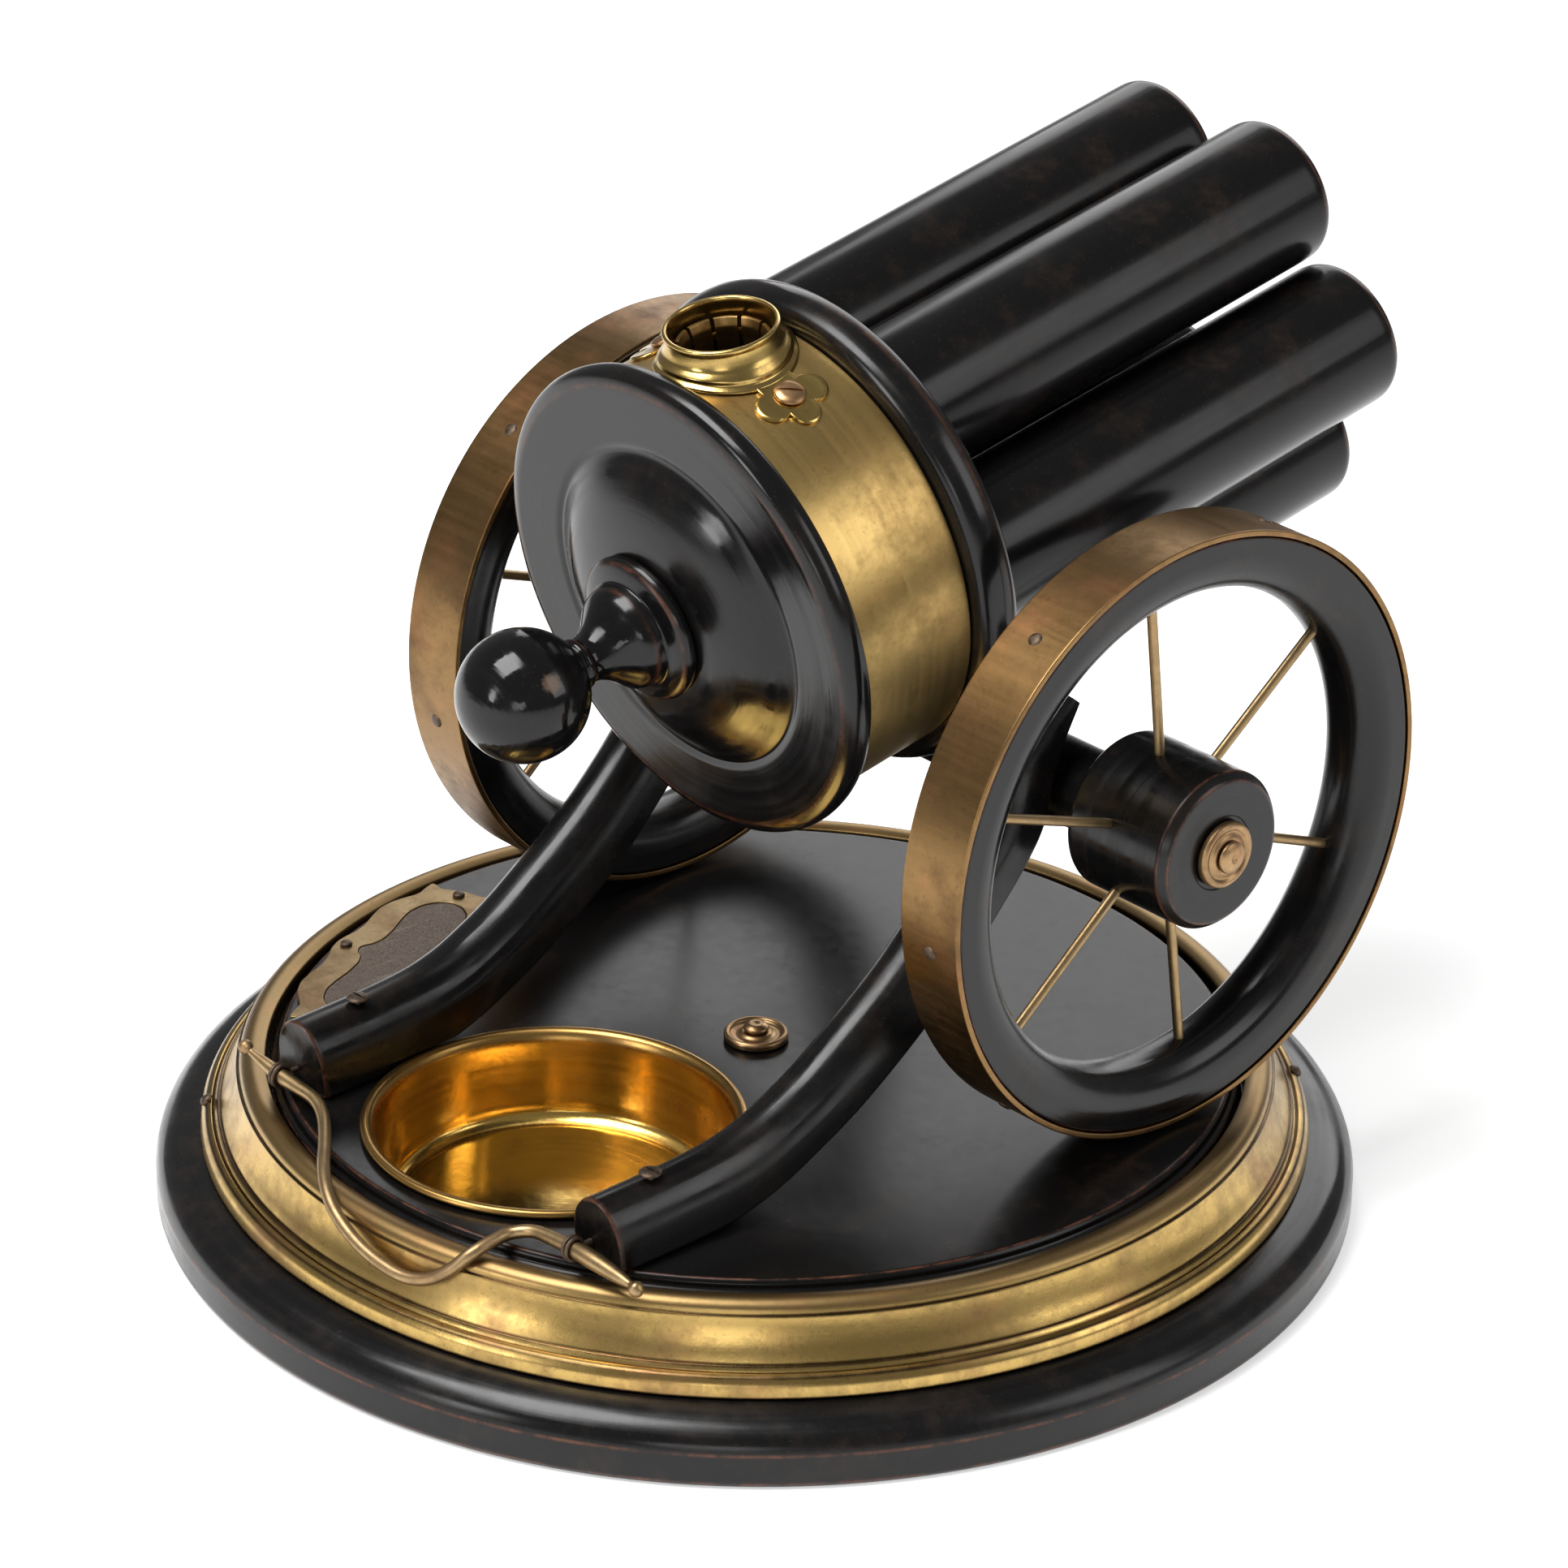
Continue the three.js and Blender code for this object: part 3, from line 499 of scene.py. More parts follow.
BRASS_SOCKET = brass("brass_socket", (0.4, 0.27, 0.1), BROWN, 0.8, 0.28, "turned", red=0.2)
COPPERY = brass("coppery_brass", (0.42, 0.27, 0.135), (0.2, 0.12, 0.06), 0.6, 0.32, "turned", red=0.35)
IRON = iron("dark_iron")
GRIT = abrasive("striker_grit")


def finish(piece, material, slot, body, *nodes):
    """Gives a piece its material and the body it rides on, and hides the CAD nodes it stands for; the slot
    argument is not used.
    """
    piece.data.materials.clear()
    piece.data.materials.append(material)
    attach(piece, body)
    if nodes:
        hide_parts(*nodes)
    return piece


# ---- base -----------------------------------------------------------------------------------------


def make_plinth():
    made = turned(
        "base_plinth",
        [
            [0, 0], [119, 0, 0.4], [120, 1, 0.9, 1], [120, 7.1, 0.5, 1], [119.3, 9.4, 2], [116.8, 11.9, 2.5],
            [113, 13.2, 2], [109.5, 13.5], [108.9, 16.1, 1], [105.8, 18.6, 1], [102.1, 25.9], [101.1, 27.9],
            [98.9, 27.9], [98.9, 19.7], [97.2, 19.7], [97.2, 8], [12, 8], [12, 23.7], [2.2, 23.7], [2.2, 10],
            [0, 10],
        ],
        segments=192,
    )
    finish(made, WOOD, "ebonised_wood", "base", "plinth")


def make_moulding():
    made = turned(
        "base_brass_moulding",
        [
            [110.9, 13.8, 0.3], [110.6, 16.4, 0.6], [109.7, 17.8, 0.6], [108.6, 18.1, 0.25],
            [108.2, 17.6, 0.12], [107.9, 18.3, 0.2], [107.3, 19, 0.35], [106.8, 18.8, 0.1],
            [106.3, 19.9, 0.6], [104.9, 22.6, 2], [103.9, 25.6, 1], [103.5, 27.2, 0.3],
            [103, 27.2, 0.1], [102.6, 28.5, 0.6], [101.3, 29.5, 0.8], [99.4, 29.6, 0.8],
            [97.6, 28.9, 0.4], [97.6, 20, 0.2], [98.5, 20, 0.2], [98.5, 28.3], [101.4, 28.3],
            [102.5, 26.1], [106.1, 18.6], [109.2, 16.1], [109.9, 13.8, 0.2],
        ],
        segments=192,
        closed=True,
    )
    finish(made, BRASS_MOULDING, "aged_brass", "base", "brass_moulding")


def make_moulding_pins():
    for i, degrees in enumerate((-129, 54)):
        c, s = math.cos(math.radians(degrees)), math.sin(math.radians(degrees))
        start = (c * 109.3, s * 109.3, 17.4)
        end = (c * 110.4, s * 110.4, 18.7)
        matrix, _ = along(start, end)
        made = turned(
            f"base_moulding_pin_{i + 1}",
            [[0, -5], [0.6, -5], [0.6, 0.3], [1.5, 0.3], [1.3, 1.1, 0.6], [0, 1.6]],
            matrix,
            24,
        )
        finish(made, IRON, "dark_iron", "base", f"moulding_pin_{i + 1}")


def make_pivot():
    bolt = turned(
        "base_pivot_bolt",
        [
            [0, 10.3], [1.9, 10.3], [1.9, 32.2], [2.6, 32.2], [2.6, 32.8, 0.4], [1.6, 33.5, 0.5],
            [0.7, 33.5], [0, 33.2],
        ],
        segments=40,
    )
    finish(bolt, COPPERY, "coppery_brass", "base", "pivot_bolt")
    rosette = turned(
        "base_centre_rosette",
        [
            [2.2, 30.3], [6.5, 30.3], [6.5, 31.4, 0.5], [6, 31.9, 0.5], [5.4, 31.8, 0.4], [5, 31.2, 0.3],
            [4.2, 31.1, 0.3], [3.4, 31.3, 0.3], [2.9, 31.8, 0.4], [2.2, 31.8],
        ],
        segments=64,
        closed=True,
    )
    finish(rosette, COPPERY, "coppery_brass", "base", "centre_rosette")


# ---- turntable ------------------------------------------------------------------------------------


def make_disc():
    made = turned(
        "table_disc",
        [
            [2.2, 24], [95.9, 24], [96.3, 24.4], [96.3, 27.4, 0.3, 1], [95.3, 28.2, 0.4], [95.2, 29.2, 0.3],
            [94.6, 30, 0.6, 1], [2.2, 30],
        ],
        segments=192,
        closed=True,
    )
    hole = turned("tool", [[0, 20], [36.4, 20], [36.4, 34], [0, 34]], CUP)
    combine(made, [hole])
    finish(made, WOOD_DISC, "ebonised_wood", "turntable", "top_disc")


def make_cup():
    made = turned(
        "ash_cup_bowl",
        [
            [0, 12], [31, 12, 1], [33.2, 13.4, 1], [33.9, 15.4, 1], [35.5, 30.3], [37.3, 30.3, 0.3],
            [37.9, 30.9, 0.4], [37.5, 31.8, 0.5], [36.6, 32, 0.6], [35.6, 31.6, 0.6], [34.9, 30.4, 0.8],
            [34.3, 26, 1], [33.2, 16, 2], [32.6, 14.2, 0.8], [31.2, 13.2, 0.5], [30.4, 13, 0.3],
            [29.4, 13.45, 0.6], [12, 13.55, 2], [0, 13.55],
        ],
        CUP,
        segments=160,
    )
    finish(made, BRASS_CUP, "aged_brass", "turntable", "ash_cup")


STRIKER_OUTER = [
    [0, 14.5], [3, 14.2], [6, 13.1], [10, 12.6], [15, 13.1], [19, 13.2], [23, 12], [26, 10.2], [28.3, 8.5],
    [31, 8.5], [34.2, 8.1], [34, 6.8], [32.6, 5.2], [33, 3], [33.6, 0],
]
STRIKER_INNER = [
    [0, 9], [1.6, 8.4], [3, 7], [6, 6], [11, 6], [16, 6.6], [20, 6.7], [24, 5.4], [26.6, 3], [27.6, 0],
]
STRIKER_PINS = [[0, 11.9], [31, 0], [0, -11.9], [-31, 0]]


def striker_point(point):
    """From [along, across] the cartouche to x and y on the disc."""
    a, b = point[0] * 0.95, point[1] * 0.95
    return [-73 - a * 0.423 - b * 0.906, -33.4 + a * 0.906 - b * 0.423]


def striker_outline(quarter, grow=0.0):
    """The cartouche's whole outline from one quarter of [along, across] points."""
    grown = [[s + (grow if s > 20 else 0), w + (grow if w > 0 else 0)] for s, w in quarter]
    half = grown + [[s, -w] for s, w in reversed(grown[:-1])]
    whole = half + [[-s, w] for s, w in reversed(half[1:-1])]
    return [[x, y] for x, y, _ in rounded([striker_point(p) for p in whole], True, 1.1)]


def make_striker():
    outer, inner = striker_outline(STRIKER_OUTER), striker_outline(STRIKER_INNER)
    rim = plate("striker_cartouche", outer, 30.3, 31.2, inner)
    finish(rim, BRASS_STRIKER, "dull_brass", "turntable", "striker_frame")
    pad = plate("striker_abrasive", striker_outline(STRIKER_INNER, -0.15), 30.3, 31)
    finish(pad, GRIT, "striker_grit", "turntable", "striker_pad")
    for i, pin in enumerate(STRIKER_PINS):
        x, y = striker_point(pin)
        made = turned(
            f"striker_nail_{i + 1}",
            [[0, 30.4], [0.5, 30.4], [0.5, 31.3], [1.3, 31.3], [1.2, 31.9, 0.5], [0, 32.3]],
            Matrix.Translation((x * MM, y * MM, 0)),
            24,
        )
        finish(made, IRON, "dark_iron", "turntable", f"striker_pin_{i + 1}")


# Stations along an arm: [lower edge y, z, upper edge y, z], from the trail end to the upper end.
ARM_STATIONS = [
    [-81, 30.3, -82.6, 44.6], [-66, 30.3, -67.6, 44.8], [-54, 30.8, -57.2, 45.3],
    [-46.5, 32.3, -50.2, 46.1], [-39, 34.8, -43.8, 47.7], [-31.5, 38.2, -37.6, 50.3],
    [-24.9, 41.5, -31.6, 53.3], [-18.2, 45.4, -25.4, 57.2], [-8.8, 51.8, -16.4, 63.2],
    [-1.4, 57.6, -9.2, 68.6], [4.8, 63.6, -3.2, 74], [10.2, 69.2, 1.6, 78.8],
    [16.2, 75.6, 7, 85], [21.6, 81.6, 11.8, 91.2], [26.4, 89.2, 15.6, 97.4],
    [29.2, 101.1, 19.4, 105.6], [34.6, 112.2, 30.6, 115.6],
]
ARMS = {
    "left": {"end": 42.2, "top": 45.6, "width": 14.4, "crown": 1.04, "screw": (-41.2, -68.2, 44.2)},
    "right": {"end": 47, "top": 46.6, "width": 13.5, "crown": 0.95, "screw": (47.6, -69, 43.2)},
}


def arm_centre(arm, y):
    """Distance of an arm's centre line from the middle of the gun."""
    return arm["end"] + (arm["top"] - arm["end"]) * (y + 80.8) / 110.8


def arm_outline(half):
    """Cross-section of an arm as [across, up], up running from 0 to 1: square below, rounded above."""
    high = 15
    corners = [
        [half - 0.5, 0, 0.5], [half, 0.5, 0.5], [half, 0.36 * high, 2], [half * 0.95, 0.56 * high, 2.2],
        [half * 0.76, 0.79 * high, 2.6], [half * 0.42, 0.95 * high, 2.6], [0, high, 2.6],
    ]
    whole = corners + [[-x, y, s] for x, y, s in reversed(corners[:-1])]
    return [(x, y / high) for x, y, _ in rounded(whole, True)]


def make_arm(word):
    side, arm = SIDES[word], ARMS[word]
    stations = spline(ARM_STATIONS, 6)
    first = Vector(ARM_STATIONS[0])
    stations[0] = first
    stations[1:1] = [first, first + Vector((0.5, 0, 0.5, 0)), first + Vector((1.2, 0, 1.2, 0))]
    outline = arm_outline(arm["width"] / 2)
    rings, wear = [], []
    for i, (low_y, low_z, top_y, top_z) in enumerate(stations):
        pull = (0.9, 0.97)[i] if i < 2 else 1
        ring = []
        for across, up in outline:
            share = (0.5 + (up - 0.5) * pull) * arm["crown"]
            y = low_y + (top_y - low_y) * share
            z = low_z + (top_z - low_z) * share
            ring.append((side * arm_centre(arm, y) + across * pull, y, z))
            wear.append(1.0 if i == 1 else 0.5 if i == 2 else 0.0)
        rings.append(ring)
    made = lofted(f"trail_cheek_{word}", rings, wear)
    seat_x = side * (arm_centre(arm, 20) - arm["width"] / 2 + 3.75)
    seat = box_tool((6.5, 16, 10), (0, 0, 0), Matrix.Translation(Vector((seat_x, 26.5, 93)) * MM))
    seat.matrix_world = seat.matrix_world @ Matrix.Rotation(-0.2, 4, "X")
    combine(made, [seat], "UNION")
    cup = turned("tool", [[0, 28], [38.5, 28], [38.5, 32.4], [0, 32.4]], CUP)
    axle = rod("tool", (-70, WHEEL_Y, WHEEL_Z), (70, WHEEL_Y, WHEEL_Z), 8.6, 64)
    flange = turned("tool", [[0, 12], [51, 12], [51, 22.6], [0, 22.6]], GUN)
    tools = [cup, axle, flange]
    if word == "left":
        tools.append(plate("tool", striker_outline(STRIKER_OUTER, 0.5), 28, 31.5, edge=0.01))
    combine(made, tools)
    finish(made, WOOD_ARM, "ebonised_wood", "turntable", f"trail_arm_{word}")


def make_trail_screw(word):
    x, y, z = ARMS[word]["screw"]
    made = turned(
        f"trail_screw_head_{word}",
        [[0, -2.6], [0.6, -2.6], [0.6, 1.7], [2.2, 1.7], [2.2, 2.1, 0.3], [1.4, 2.5, 0.5], [0, 2.6]],
        Matrix.Translation((x * MM, y * MM, z * MM)),
        36,
    )
    slit = box_tool((5, 0.6, 0.8), (x, y, z + 2.6))
    combine(made, [slit])
    finish(made, IRON, "dark_iron", "turntable", f"trail_screw_{word}")


# The wire between the trail ends: [x, y, z, radius].
BAR_PATH = [
    [-55.2, -86.4, 36.6, 0.6], [-54.6, -86.4, 36.5, 1.3], [-53.8, -86.3, 36.3, 1.5], [-53, -86.3, 36.1, 1.2],
    [-52.4, -86.2, 35.9, 0.8], [-47.6, -86.1, 34.9, 1.3], [-43.4, -86, 34.2, 1.6], [-38, -86, 33.9, 1.4],
    [-31.9, -86.3, 33.6, 1.3], [-26.4, -88.6, 32.7, 1.3], [-19.1, -94, 32.4, 1.3], [-12.3, -99.6, 32.3, 1.3],
    [-6.7, -103.3, 30.8, 1.3], [-1.6, -105.2, 28.6, 1.3], [4.9, -106.1, 26.2, 1.3], [11.9, -106.2, 24.6, 1.3],
    [18.9, -105.4, 23.9, 1.3], [24.1, -103.8, 25, 1.3], [27.8, -101.6, 27.6, 1.3], [30.4, -98.2, 31.1, 1.3],
    [31, -93.4, 32.4, 1.3], [31.6, -89.4, 32.8, 1.3], [34.6, -86.8, 33.5, 1.3], [39.4, -86.2, 33.9, 1.4],
    [45.4, -86, 34.2, 1.6], [51, -86, 34.2, 1.8], [58.5, -86, 33.9, 1.3], [61.6, -86, 33.7, 0.8],
    [62.4, -86, 33.6, 1.2], [63.3, -86, 33.5, 1.6], [64.2, -86, 33.4, 1.3], [64.8, -86, 33.4, 0.6],
]


# The wire ties: two turns round the bent wire, with the middle of a turn in y and z.
TIE_Y, TIE_Z, TIE_RADIUS, TIE_PITCH = -86, 34.2, 2.15, 0.95


def make_bar():
    made = tube("trail_wire", spline(BAR_PATH, 5), 18)
    finish(made, BRASS_WIRE, "aged_brass", "turntable", "trail_bar")
    for word, x in (("left", -43.4), ("right", 45.4)):
        path = []
        for k in range(49):
            angle = 2 * math.pi * k / 24
            y, z = TIE_Y + TIE_RADIUS * math.cos(angle), TIE_Z + TIE_RADIUS * math.sin(angle)
            path.append([x + TIE_PITCH * (k / 24 - 1), y, z, 0.42])
        tie = tube(f"wire_tie_{word}", path, 10)
        stem = rod("tool", (x, -83.9, 34.2), (x, -81.5, 34.2), 0.6)
        combine(tie, [stem], "UNION")
        finish(tie, IRON, "dark_iron", "turntable", f"bar_tie_{word}")


def make_axle():
    made = rod("axle_bolster", (-60.5, WHEEL_Y, WHEEL_Z), (60.5, WHEEL_Y, WHEEL_Z), 8.3, 96, soft=0.6)
    tools = []
    for i in range(BARREL_COUNT):
        tools.append(turned("tool", [[0, 22], [15.5, 22], [15.5, 130], [0, 130]], barrel_frame(i), 64))
    combine(made, tools)
    finish(made, WOOD, "ebonised_wood", "turntable", "axle_tree")


# ---- wheels ---------------------------------------------------------------------------------------


def make_wheel(word):
    side = SIDES[word]
    body = f"wheel_{word}"
    place = wheel_frame(side)
    rim = turned(
        f"wheel_rim_{word}",
        [
            [60, 65.7, 0.2], [60, 80.1, 0.4, 1], [54.8, 80.1, 1.2], [51.6, 79.2, 2], [49.2, 76.9, 2.2],
            [48.3, 72.9, 2.4], [49.2, 68.9, 2.2], [51.6, 66.6, 2], [54.8, 65.7, 1.2],
        ],
        place,
        160,
        closed=True,
    )
    finish(rim, WOOD, "ebonised_wood", body, f"rim_{word}")
    band = turned(
        f"wheel_tyre_{word}",
        [[60.3, 65.4], [61.5, 65.4, 0.3], [61.5, 80.4, 0.3], [60.3, 80.4]],
        place,
        160,
        closed=True,
    )
    finish(band, BRASS_TYRE, "dull_brass", body, f"tyre_{word}")
    for i, degrees in enumerate(TYRE_PINS[word]):
        matrix, _ = along(wheel_point(side, degrees, 60.9), wheel_point(side, degrees, 62))
        nail = turned(
            f"tyre_nail_{word}_{i + 1}",
            [[0, 0], [1.5, 0], [1.5, 0.65, 0.3], [0.9, 1, 0.4], [0, 1.05]],
            matrix,
            24,
        )
        finish(nail, IRON, "dark_iron", body)
    hub = turned(
        f"wheel_hub_{word}",
        [
            [2.8, 62], [14.8, 62, 0.5], [16, 63.2, 0.7], [16, 86.7, 0.5, 1], [14.5, 88.4, 0.5, 1],
            [7.6, 88.4, 0.2], [7.4, 88.2, 0.1], [2.8, 88.2],
        ],
        place,
        96,
        closed=True,
    )
    finish(hub, WOOD, "ebonised_wood", body, f"hub_{word}")
    for i, degrees in enumerate(SPOKE_DEGREES[word]):
        start, end = (wheel_point(side, degrees, radius) for radius in (13.5, 51))
        wire = rod(f"wheel_spoke_{word}_{i + 1}", start, end, 1, 20)
        finish(wire, BRASS_WIRE, "aged_brass", body, f"spoke_{word}_{i + 1}")
    spindle = turned(
        f"axle_pin_{word}",
        [
            [0, 50.3], [2.4, 50.3], [2.4, 90.6], [3.3, 90.8, 0.3], [3.2, 91.4, 0.4], [2.1, 92, 0.6],
            [0.9, 92, 0.3], [0, 91.4],
        ],
        place,
        48,
    )
    finish(spindle, COPPERY, "coppery_brass", "turntable", f"axle_spindle_{word}")
    washer = turned(
        f"hub_cap_{word}",
        [
            [2.8, 88.7], [6.7, 88.7, 0.2], [6.7, 89.9, 0.5], [6.1, 90.4, 0.4], [5.4, 90.3, 0.3],
            [4.9, 89.8, 0.3], [4.3, 90, 0.3], [3.7, 90.4, 0.3], [2.8, 90.4],
        ],
        place,
        64,
        closed=True,
    )
    finish(washer, COPPERY, "coppery_brass", "turntable", f"hub_washer_{word}")


# ---- drum, barrels and collar ---------------------------------------------------------------------


def collar_hole(radius):
    return turned("tool", [[0, 30], [radius, 30], [radius, 60], [0, 60]], drum_frame(0, COLLAR_T), 64)


def make_drum():
    band = turned(
        "drum_sheet",
        [[44.5, -14.7, 0.1], [DRUM_RADIUS, -14.7, 0.3], [DRUM_RADIUS, 12.9, 0.3], [44.5, 12.9, 0.1]],
        GUN,
        160,
        closed=True,
    )
    combine(band, [collar_hole(9.9)])
    finish(band, BRASS_BAND, "aged_brass", "turntable", "drum_band")
    wall = turned(
        "drum_inner_wall", [[40, -8], [44.2, -8], [44.2, 12.9], [40, 12.9]], GUN, 128, closed=True,
    )
    combine(wall, [collar_hole(9.9)])
    finish(wall, WOOD, "ebonised_wood", "turntable", "drum_wall")
    flange = turned(
        "drum_front_flange",
        [
            [0, 13.2], [47.4, 13.2, 1], [49.4, 14.3, 1.4], [50.3, 16.6, 1.6], [50.3, 19.4, 1.2, 0.4],
            [49.5, 21.3, 1], [48, 22, 0.8], [0, 22],
        ],
        GUN,
        160,
    )
    finish(flange, WOOD, "ebonised_wood", "turntable", "front_flange")
    for i in range(BARREL_COUNT):
        barrel = turned(
            f"cigar_barrel_{i + 1}",
            [
                [0, 17.3], [8, 17.3], [8, 22.3], [15.2, 22.3, 0.3], [15.2, 128.2, 0.5],
                [15.1, 129.4, 0.6, 0.6], [14.3, 130.9, 0.9, 1], [11.6, 130.9, 0.3, 1],
                [11, 130.3, 0.4, 1], [11, 50], [0, 50],
            ],
            barrel_frame(i),
            96,
        )
        finish(barrel, WOOD_BARREL, "ebonised_wood", "turntable", f"barrel_{i + 1}")


def drum_height(x):
    """Height of the drum's surface above its axis, at a distance across it."""
    return math.sqrt(max(0.0, (DRUM_RADIUS + 0.05) ** 2 - x * x))


def on_drum(share):
    """Moves a point down by how far the drum falls away beneath it, share being 1 at the drum's surface."""

    def moved(x, y, z):
        low = max(0.0, min(1.0, (49.3 - z) / share))
        return (x, y, z - low * (DRUM_RADIUS - drum_height(x)))

    return moved


def make_collar():
    ring = turned(
        "match_collar_ring",
        [
            [10.2, 45.7], [13.9, 45.7, 0.2], [13.9, 46.2, 0.3], [13.3, 46.5, 0.4], [12.9, 46.8, 0.3],
            [12.9, 47.4, 0.4], [12.3, 47.9, 0.4], [11.6, 48.4, 0.6], [11.1, 49.6, 0.6], [10.9, 50.9, 0.4],
            [11.3, 51.3, 0.3], [11.3, 52, 0.35], [10.9, 52.3, 0.3], [10.4, 52.2, 0.3], [10.2, 51.6, 0.3],
        ],
        drum_frame(0, COLLAR_T),
        96,
        closed=True,
        shape=on_drum(2.6),
    )
    finish(ring, BRASS_COLLAR, "aged_brass", "turntable", "collar")
    for word, side in SIDES.items():
        make_lug(word, side)


# A lug's lobes: [distance round the drum, distance along it, radius].
LUG_LOBES = [[14, -0.4, 4.4], [18.4, -5.1, 3.4], [18.4, 4.3, 3.4], [22, -0.4, 3.2], [17.8, -0.4, 4.4]]


def lug_reach(angle):
    """How far the lobed outline lies from the lug's middle in a direction."""
    way = Vector((math.cos(angle), math.sin(angle)))
    best = 0
    for s, t, r in LUG_LOBES:
        to = Vector((s - 17.8, t + 0.4))
        inside = to.dot(way) ** 2 - to.length_squared + r * r
        if inside > 0:
            best = max(best, to.dot(way) + math.sqrt(inside))
    return best


def make_lug(word, side):
    count = 96
    reach = [lug_reach(2 * math.pi * k / count) for k in range(count)]
    levels = [
        (1, 0.1), (1, 0.5), (0.97, 0.72), (0.92, 0.8), (0.86, 0.77), (0.8, 0.7), (0.6, 0.7), (0.3, 0.7),
    ]
    points, faces = [], []
    for share, height in levels:
        for k in range(count):
            angle = 2 * math.pi * k / count
            s = 17.8 + math.cos(angle) * reach[k] * share
            t = -0.4 + math.sin(angle) * reach[k] * share
            turn = side * s / DRUM_RADIUS
            r = DRUM_RADIUS + height
            points.append((r * math.sin(turn), -r * math.cos(turn), t))
    for i in range(len(levels) - 1):
        for k in range(count):
            a, b = i * count + k, i * count + (k + 1) % count
            faces.append((a, b, b + count, a + count))
    faces.append(tuple(range(count)))
    faces.append(tuple((len(levels) - 1) * count + k for k in range(count)))
    lug = piece_from(f"match_collar_lug_{word}", points, faces, None, GUN)
    finish(lug, BRASS_COLLAR, "aged_brass", "turntable")
    screw_frame = drum_frame(side * LUG_DEGREES, -0.4)
    screw = turned(
        f"collar_screw_head_{word}",
        [[0, 41], [1, 41], [1, 46.3], [3.1, 46.3], [3.1, 46.9, 0.3], [2.2, 47.4, 0.6], [0, 47.6]],
        screw_frame,
        48,
    )
    slit = box_tool((8, 0.6, 0.9), (0, 0, 47.6), screw_frame @ Matrix.Rotation(0.9, 4, "Z"))
    combine(screw, [slit])
    finish(screw, COPPERY, "coppery_brass", "turntable", f"collar_screw_{word}")


def make_finger_socket():
    """Ten spring fingers round the socket, flared at their tips."""
    profile = rounded([[8, 37], [8.9, 37], [8.9, 47.2], [9.3, 48.9], [8.6, 48.9], [8, 47.2]], True, 0.2)
    points, faces = [], []
    steps = 8
    for i in range(10):
        start = 2 * math.pi * i / 10 + 0.157
        rings = []
        for k in range(steps + 1):
            angle = start + 0.05 + (2 * math.pi / 10 - 0.1) * k / steps
            rings.append(len(points))
            points.extend((r * math.cos(angle), r * math.sin(angle), h) for r, h, _ in profile)
        size = len(profile)
        for low, high in zip(rings, rings[1:]):
            for k in range(size):
                faces.append((low + k, low + (k + 1) % size, high + (k + 1) % size, high + k))
        faces.append(tuple(range(rings[0], rings[0] + size)))
        faces.append(tuple(range(rings[-1], rings[-1] + size)))
    made = piece_from("match_spring_fingers", points, faces, None, drum_frame(0, COLLAR_T))
    finish(made, BRASS_SOCKET, "aged_brass", "turntable", "finger_socket")


def make_drum_screw():
    made = turned(
        "drum_nail",
        [[0, 41], [0.6, 41], [0.6, 45.8], [1.7, 45.8], [1.6, 46.3, 0.4], [0, 46.6]],
        drum_frame(150, -3.4),
        24,
    )
    finish(made, IRON, "dark_iron", "turntable", "drum_screw")


def make_lid():
    cover = turned(
        "lid_cover",
        [
            [4.3, -28.8], [14, -28.8, 1], [20.5, -27.5, 2.5], [26.5, -25.1, 2.5], [31.6, -21.5, 1.2],
            [32.9, -20.8, 0.6], [34.2, -21.2, 0.5], [46.2, -21.2, 0.8, 0.5], [48.4, -20.3, 1.2],
            [49.2, -18.2, 1.3], [48.6, -15.8, 0.9], [47, -15, 0.6], [43.6, -15], [43.6, -10.3], [41.4, -10.3],
            [41.4, -15], [26, -17.5], [4.3, -20.4],
        ],
        GUN,
        160,
        closed=True,
    )
    finish(cover, WOOD_GLOSSY, "ebonised_wood", "lid", "rear_cover")
    arc = [math.radians(degrees) for degrees in range(0, 156, 6)]
    ball = [[12.9 * math.sin(a), -59.7 - 12.9 * math.cos(a)] for a in arc]
    knob = turned(
        "lid_knob",
        ball
        + [
            [4.5, -47.4, 0.6], [5.1, -46.7, 0.3], [5.1, -45.8, 0.4, 1], [4.5, -45.2, 0.4], [4.7, -43.2, 1],
            [6, -40.6, 1.4], [8.2, -38.2, 1], [9.8, -36.6, 0.8], [10.5, -34.9, 0.8, 0.5],
            [10.8, -33, 0.4], [12.2, -32.6, 0.5], [14.2, -31.8, 0.7, 1], [15, -30.6, 0.6],
            [14.8, -29.4, 0.4], [14.2, -29.1, 0.2],
            [4, -29.1], [4, -17.5], [0, -17.5],
        ],
        GUN,
        96,
    )
    finish(knob, WOOD_KNOB, "ebonised_wood", "lid", "knob")


# ---- stage ----------------------------------------------------------------------------------------


def area_light(name, place, target, width, height, power):
    """A soft rectangular lamp aimed at a point, in metres and watts."""
    lamp = bpy.data.lights.new(name, "AREA")
    lamp.shape = "RECTANGLE"
    lamp.size = width
    lamp.size_y = height
    lamp.energy = power
    made = bpy.data.objects.new(name, lamp)
    bpy.context.scene.collection.objects.link(made)
    made.location = place
    made.rotation_mode = "QUATERNION"
    made.rotation_quaternion = (Vector(target) - Vector(place)).to_track_quat("-Z", "Y")


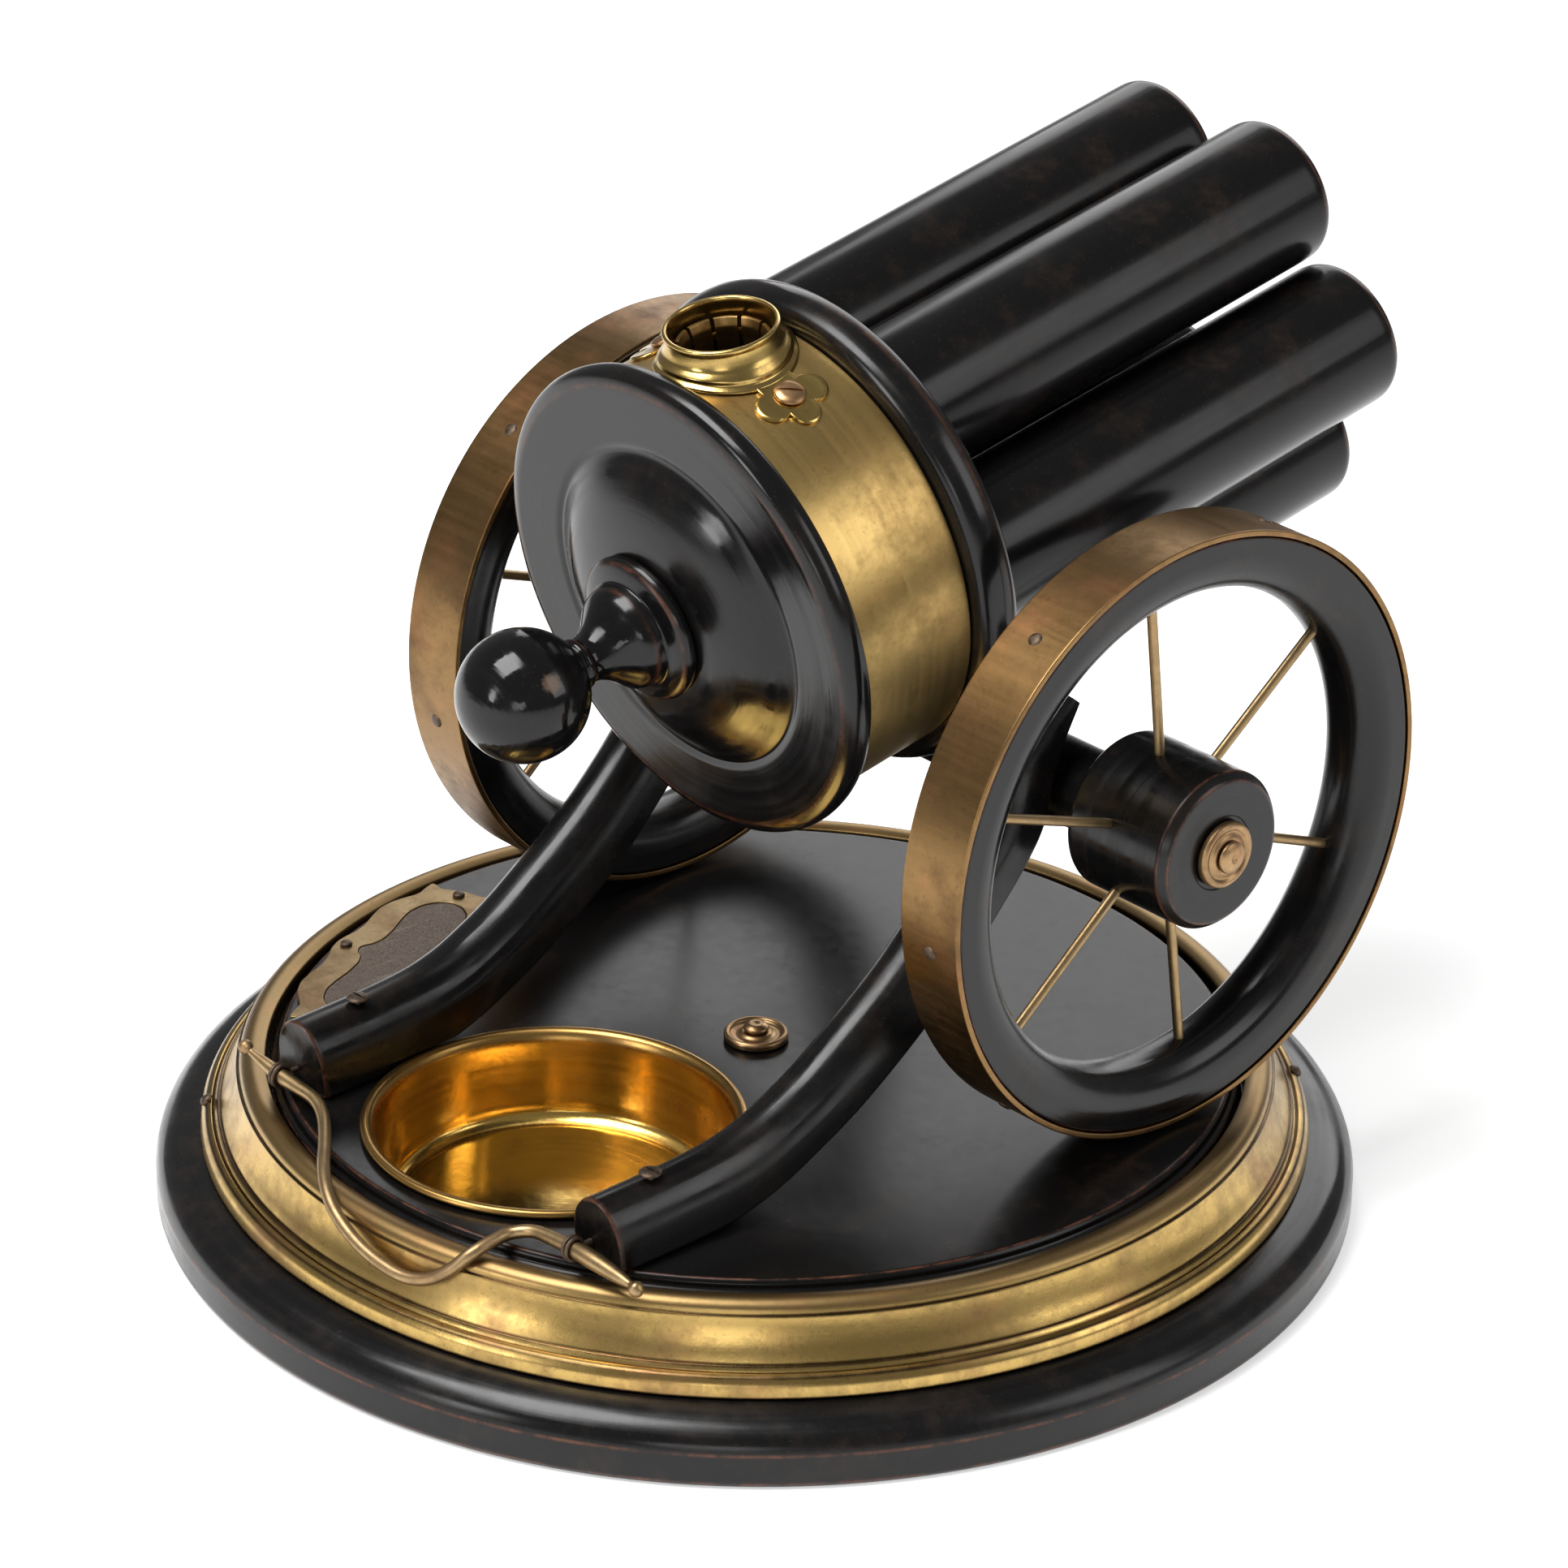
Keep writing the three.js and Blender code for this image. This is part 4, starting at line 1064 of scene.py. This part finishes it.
def make_stage():
    floor = turned("stage_floor", [[0, -1], [6000, -1]], segments=64)
    f = Finish("stage_white")
    pale = f.mix(f.noise(3.0), (0.86, 0.86, 0.86), (0.9, 0.9, 0.9))
    f.set(Base_Color=pale, Roughness=0.85, Specular_IOR_Level=0.1)
    f.set(Emission_Color=(1, 1, 1, 1), Emission_Strength=0.46)
    floor.location = (0, 0, 0.0009)
    floor.data.materials.append(f.material)
    scene = bpy.context.scene
    world = bpy.data.worlds.new("studio")
    world.use_nodes = True
    world.node_tree.nodes["Background"].inputs["Color"].default_value = (1, 1, 1, 1)
    world.node_tree.nodes["Background"].inputs["Strength"].default_value = 0.2
    scene.world = world
    scene.view_settings.view_transform = "Standard"
    area_light("softbox_top", (-0.2, -0.55, 1.35), (0, 0, 0.08), 0.8, 0.8, 24)
    area_light("softbox_side", (-0.12, -1.65, 0.55), (0, 0, 0.12), 0.3, 0.55, 5)
    area_light("softbox_front", (1.0, -1.15, 0.3), (0, 0, 0.05), 0.5, 0.3, 1.6)
    area_light("softbox_back", (-0.9, 1.5, 0.9), (0, 0, 0.1), 1.6, 1.0, 12)
    area_light("softbox_right", (1.4, 0.7, 0.9), (0, 0, 0.1), 0.8, 1.0, 7)


# The viewpoint: place in metres, its right, up and view directions, and a lens in millimetres.
CAMERA_PLACE = (0.80089, -0.72107, 0.60738)
CAMERA_RIGHT, CAMERA_UP = Vector((0.6682, 0.74389, 0.01181)), Vector((-0.33091, 0.28294, 0.90024))
CAMERA_VIEW = Vector((-0.66634, 0.60545, -0.43523))
SENSOR_WIDTH, FOCAL_LENGTH = 36, 140.55801


def make_camera():
    camera = bpy.data.cameras.new("view")
    camera.sensor_width = SENSOR_WIDTH
    camera.lens = FOCAL_LENGTH
    made = bpy.data.objects.new("view", camera)
    bpy.context.scene.collection.objects.link(made)
    turn = Matrix((CAMERA_RIGHT, CAMERA_UP, -CAMERA_VIEW)).transposed()
    made.matrix_world = Matrix.Translation(CAMERA_PLACE) @ turn.to_4x4()
    camera.clip_start = 0.01
    camera.clip_end = 20
    bpy.context.scene.camera = made


make_camera()
make_stage()
make_plinth()
make_moulding()
make_moulding_pins()
make_pivot()
make_disc()
make_cup()
make_striker()
for word in SIDES:
    make_arm(word)
    make_trail_screw(word)
    make_wheel(word)
make_bar()
make_axle()
make_drum()
make_collar()
make_finger_socket()
make_drum_screw()
make_lid()
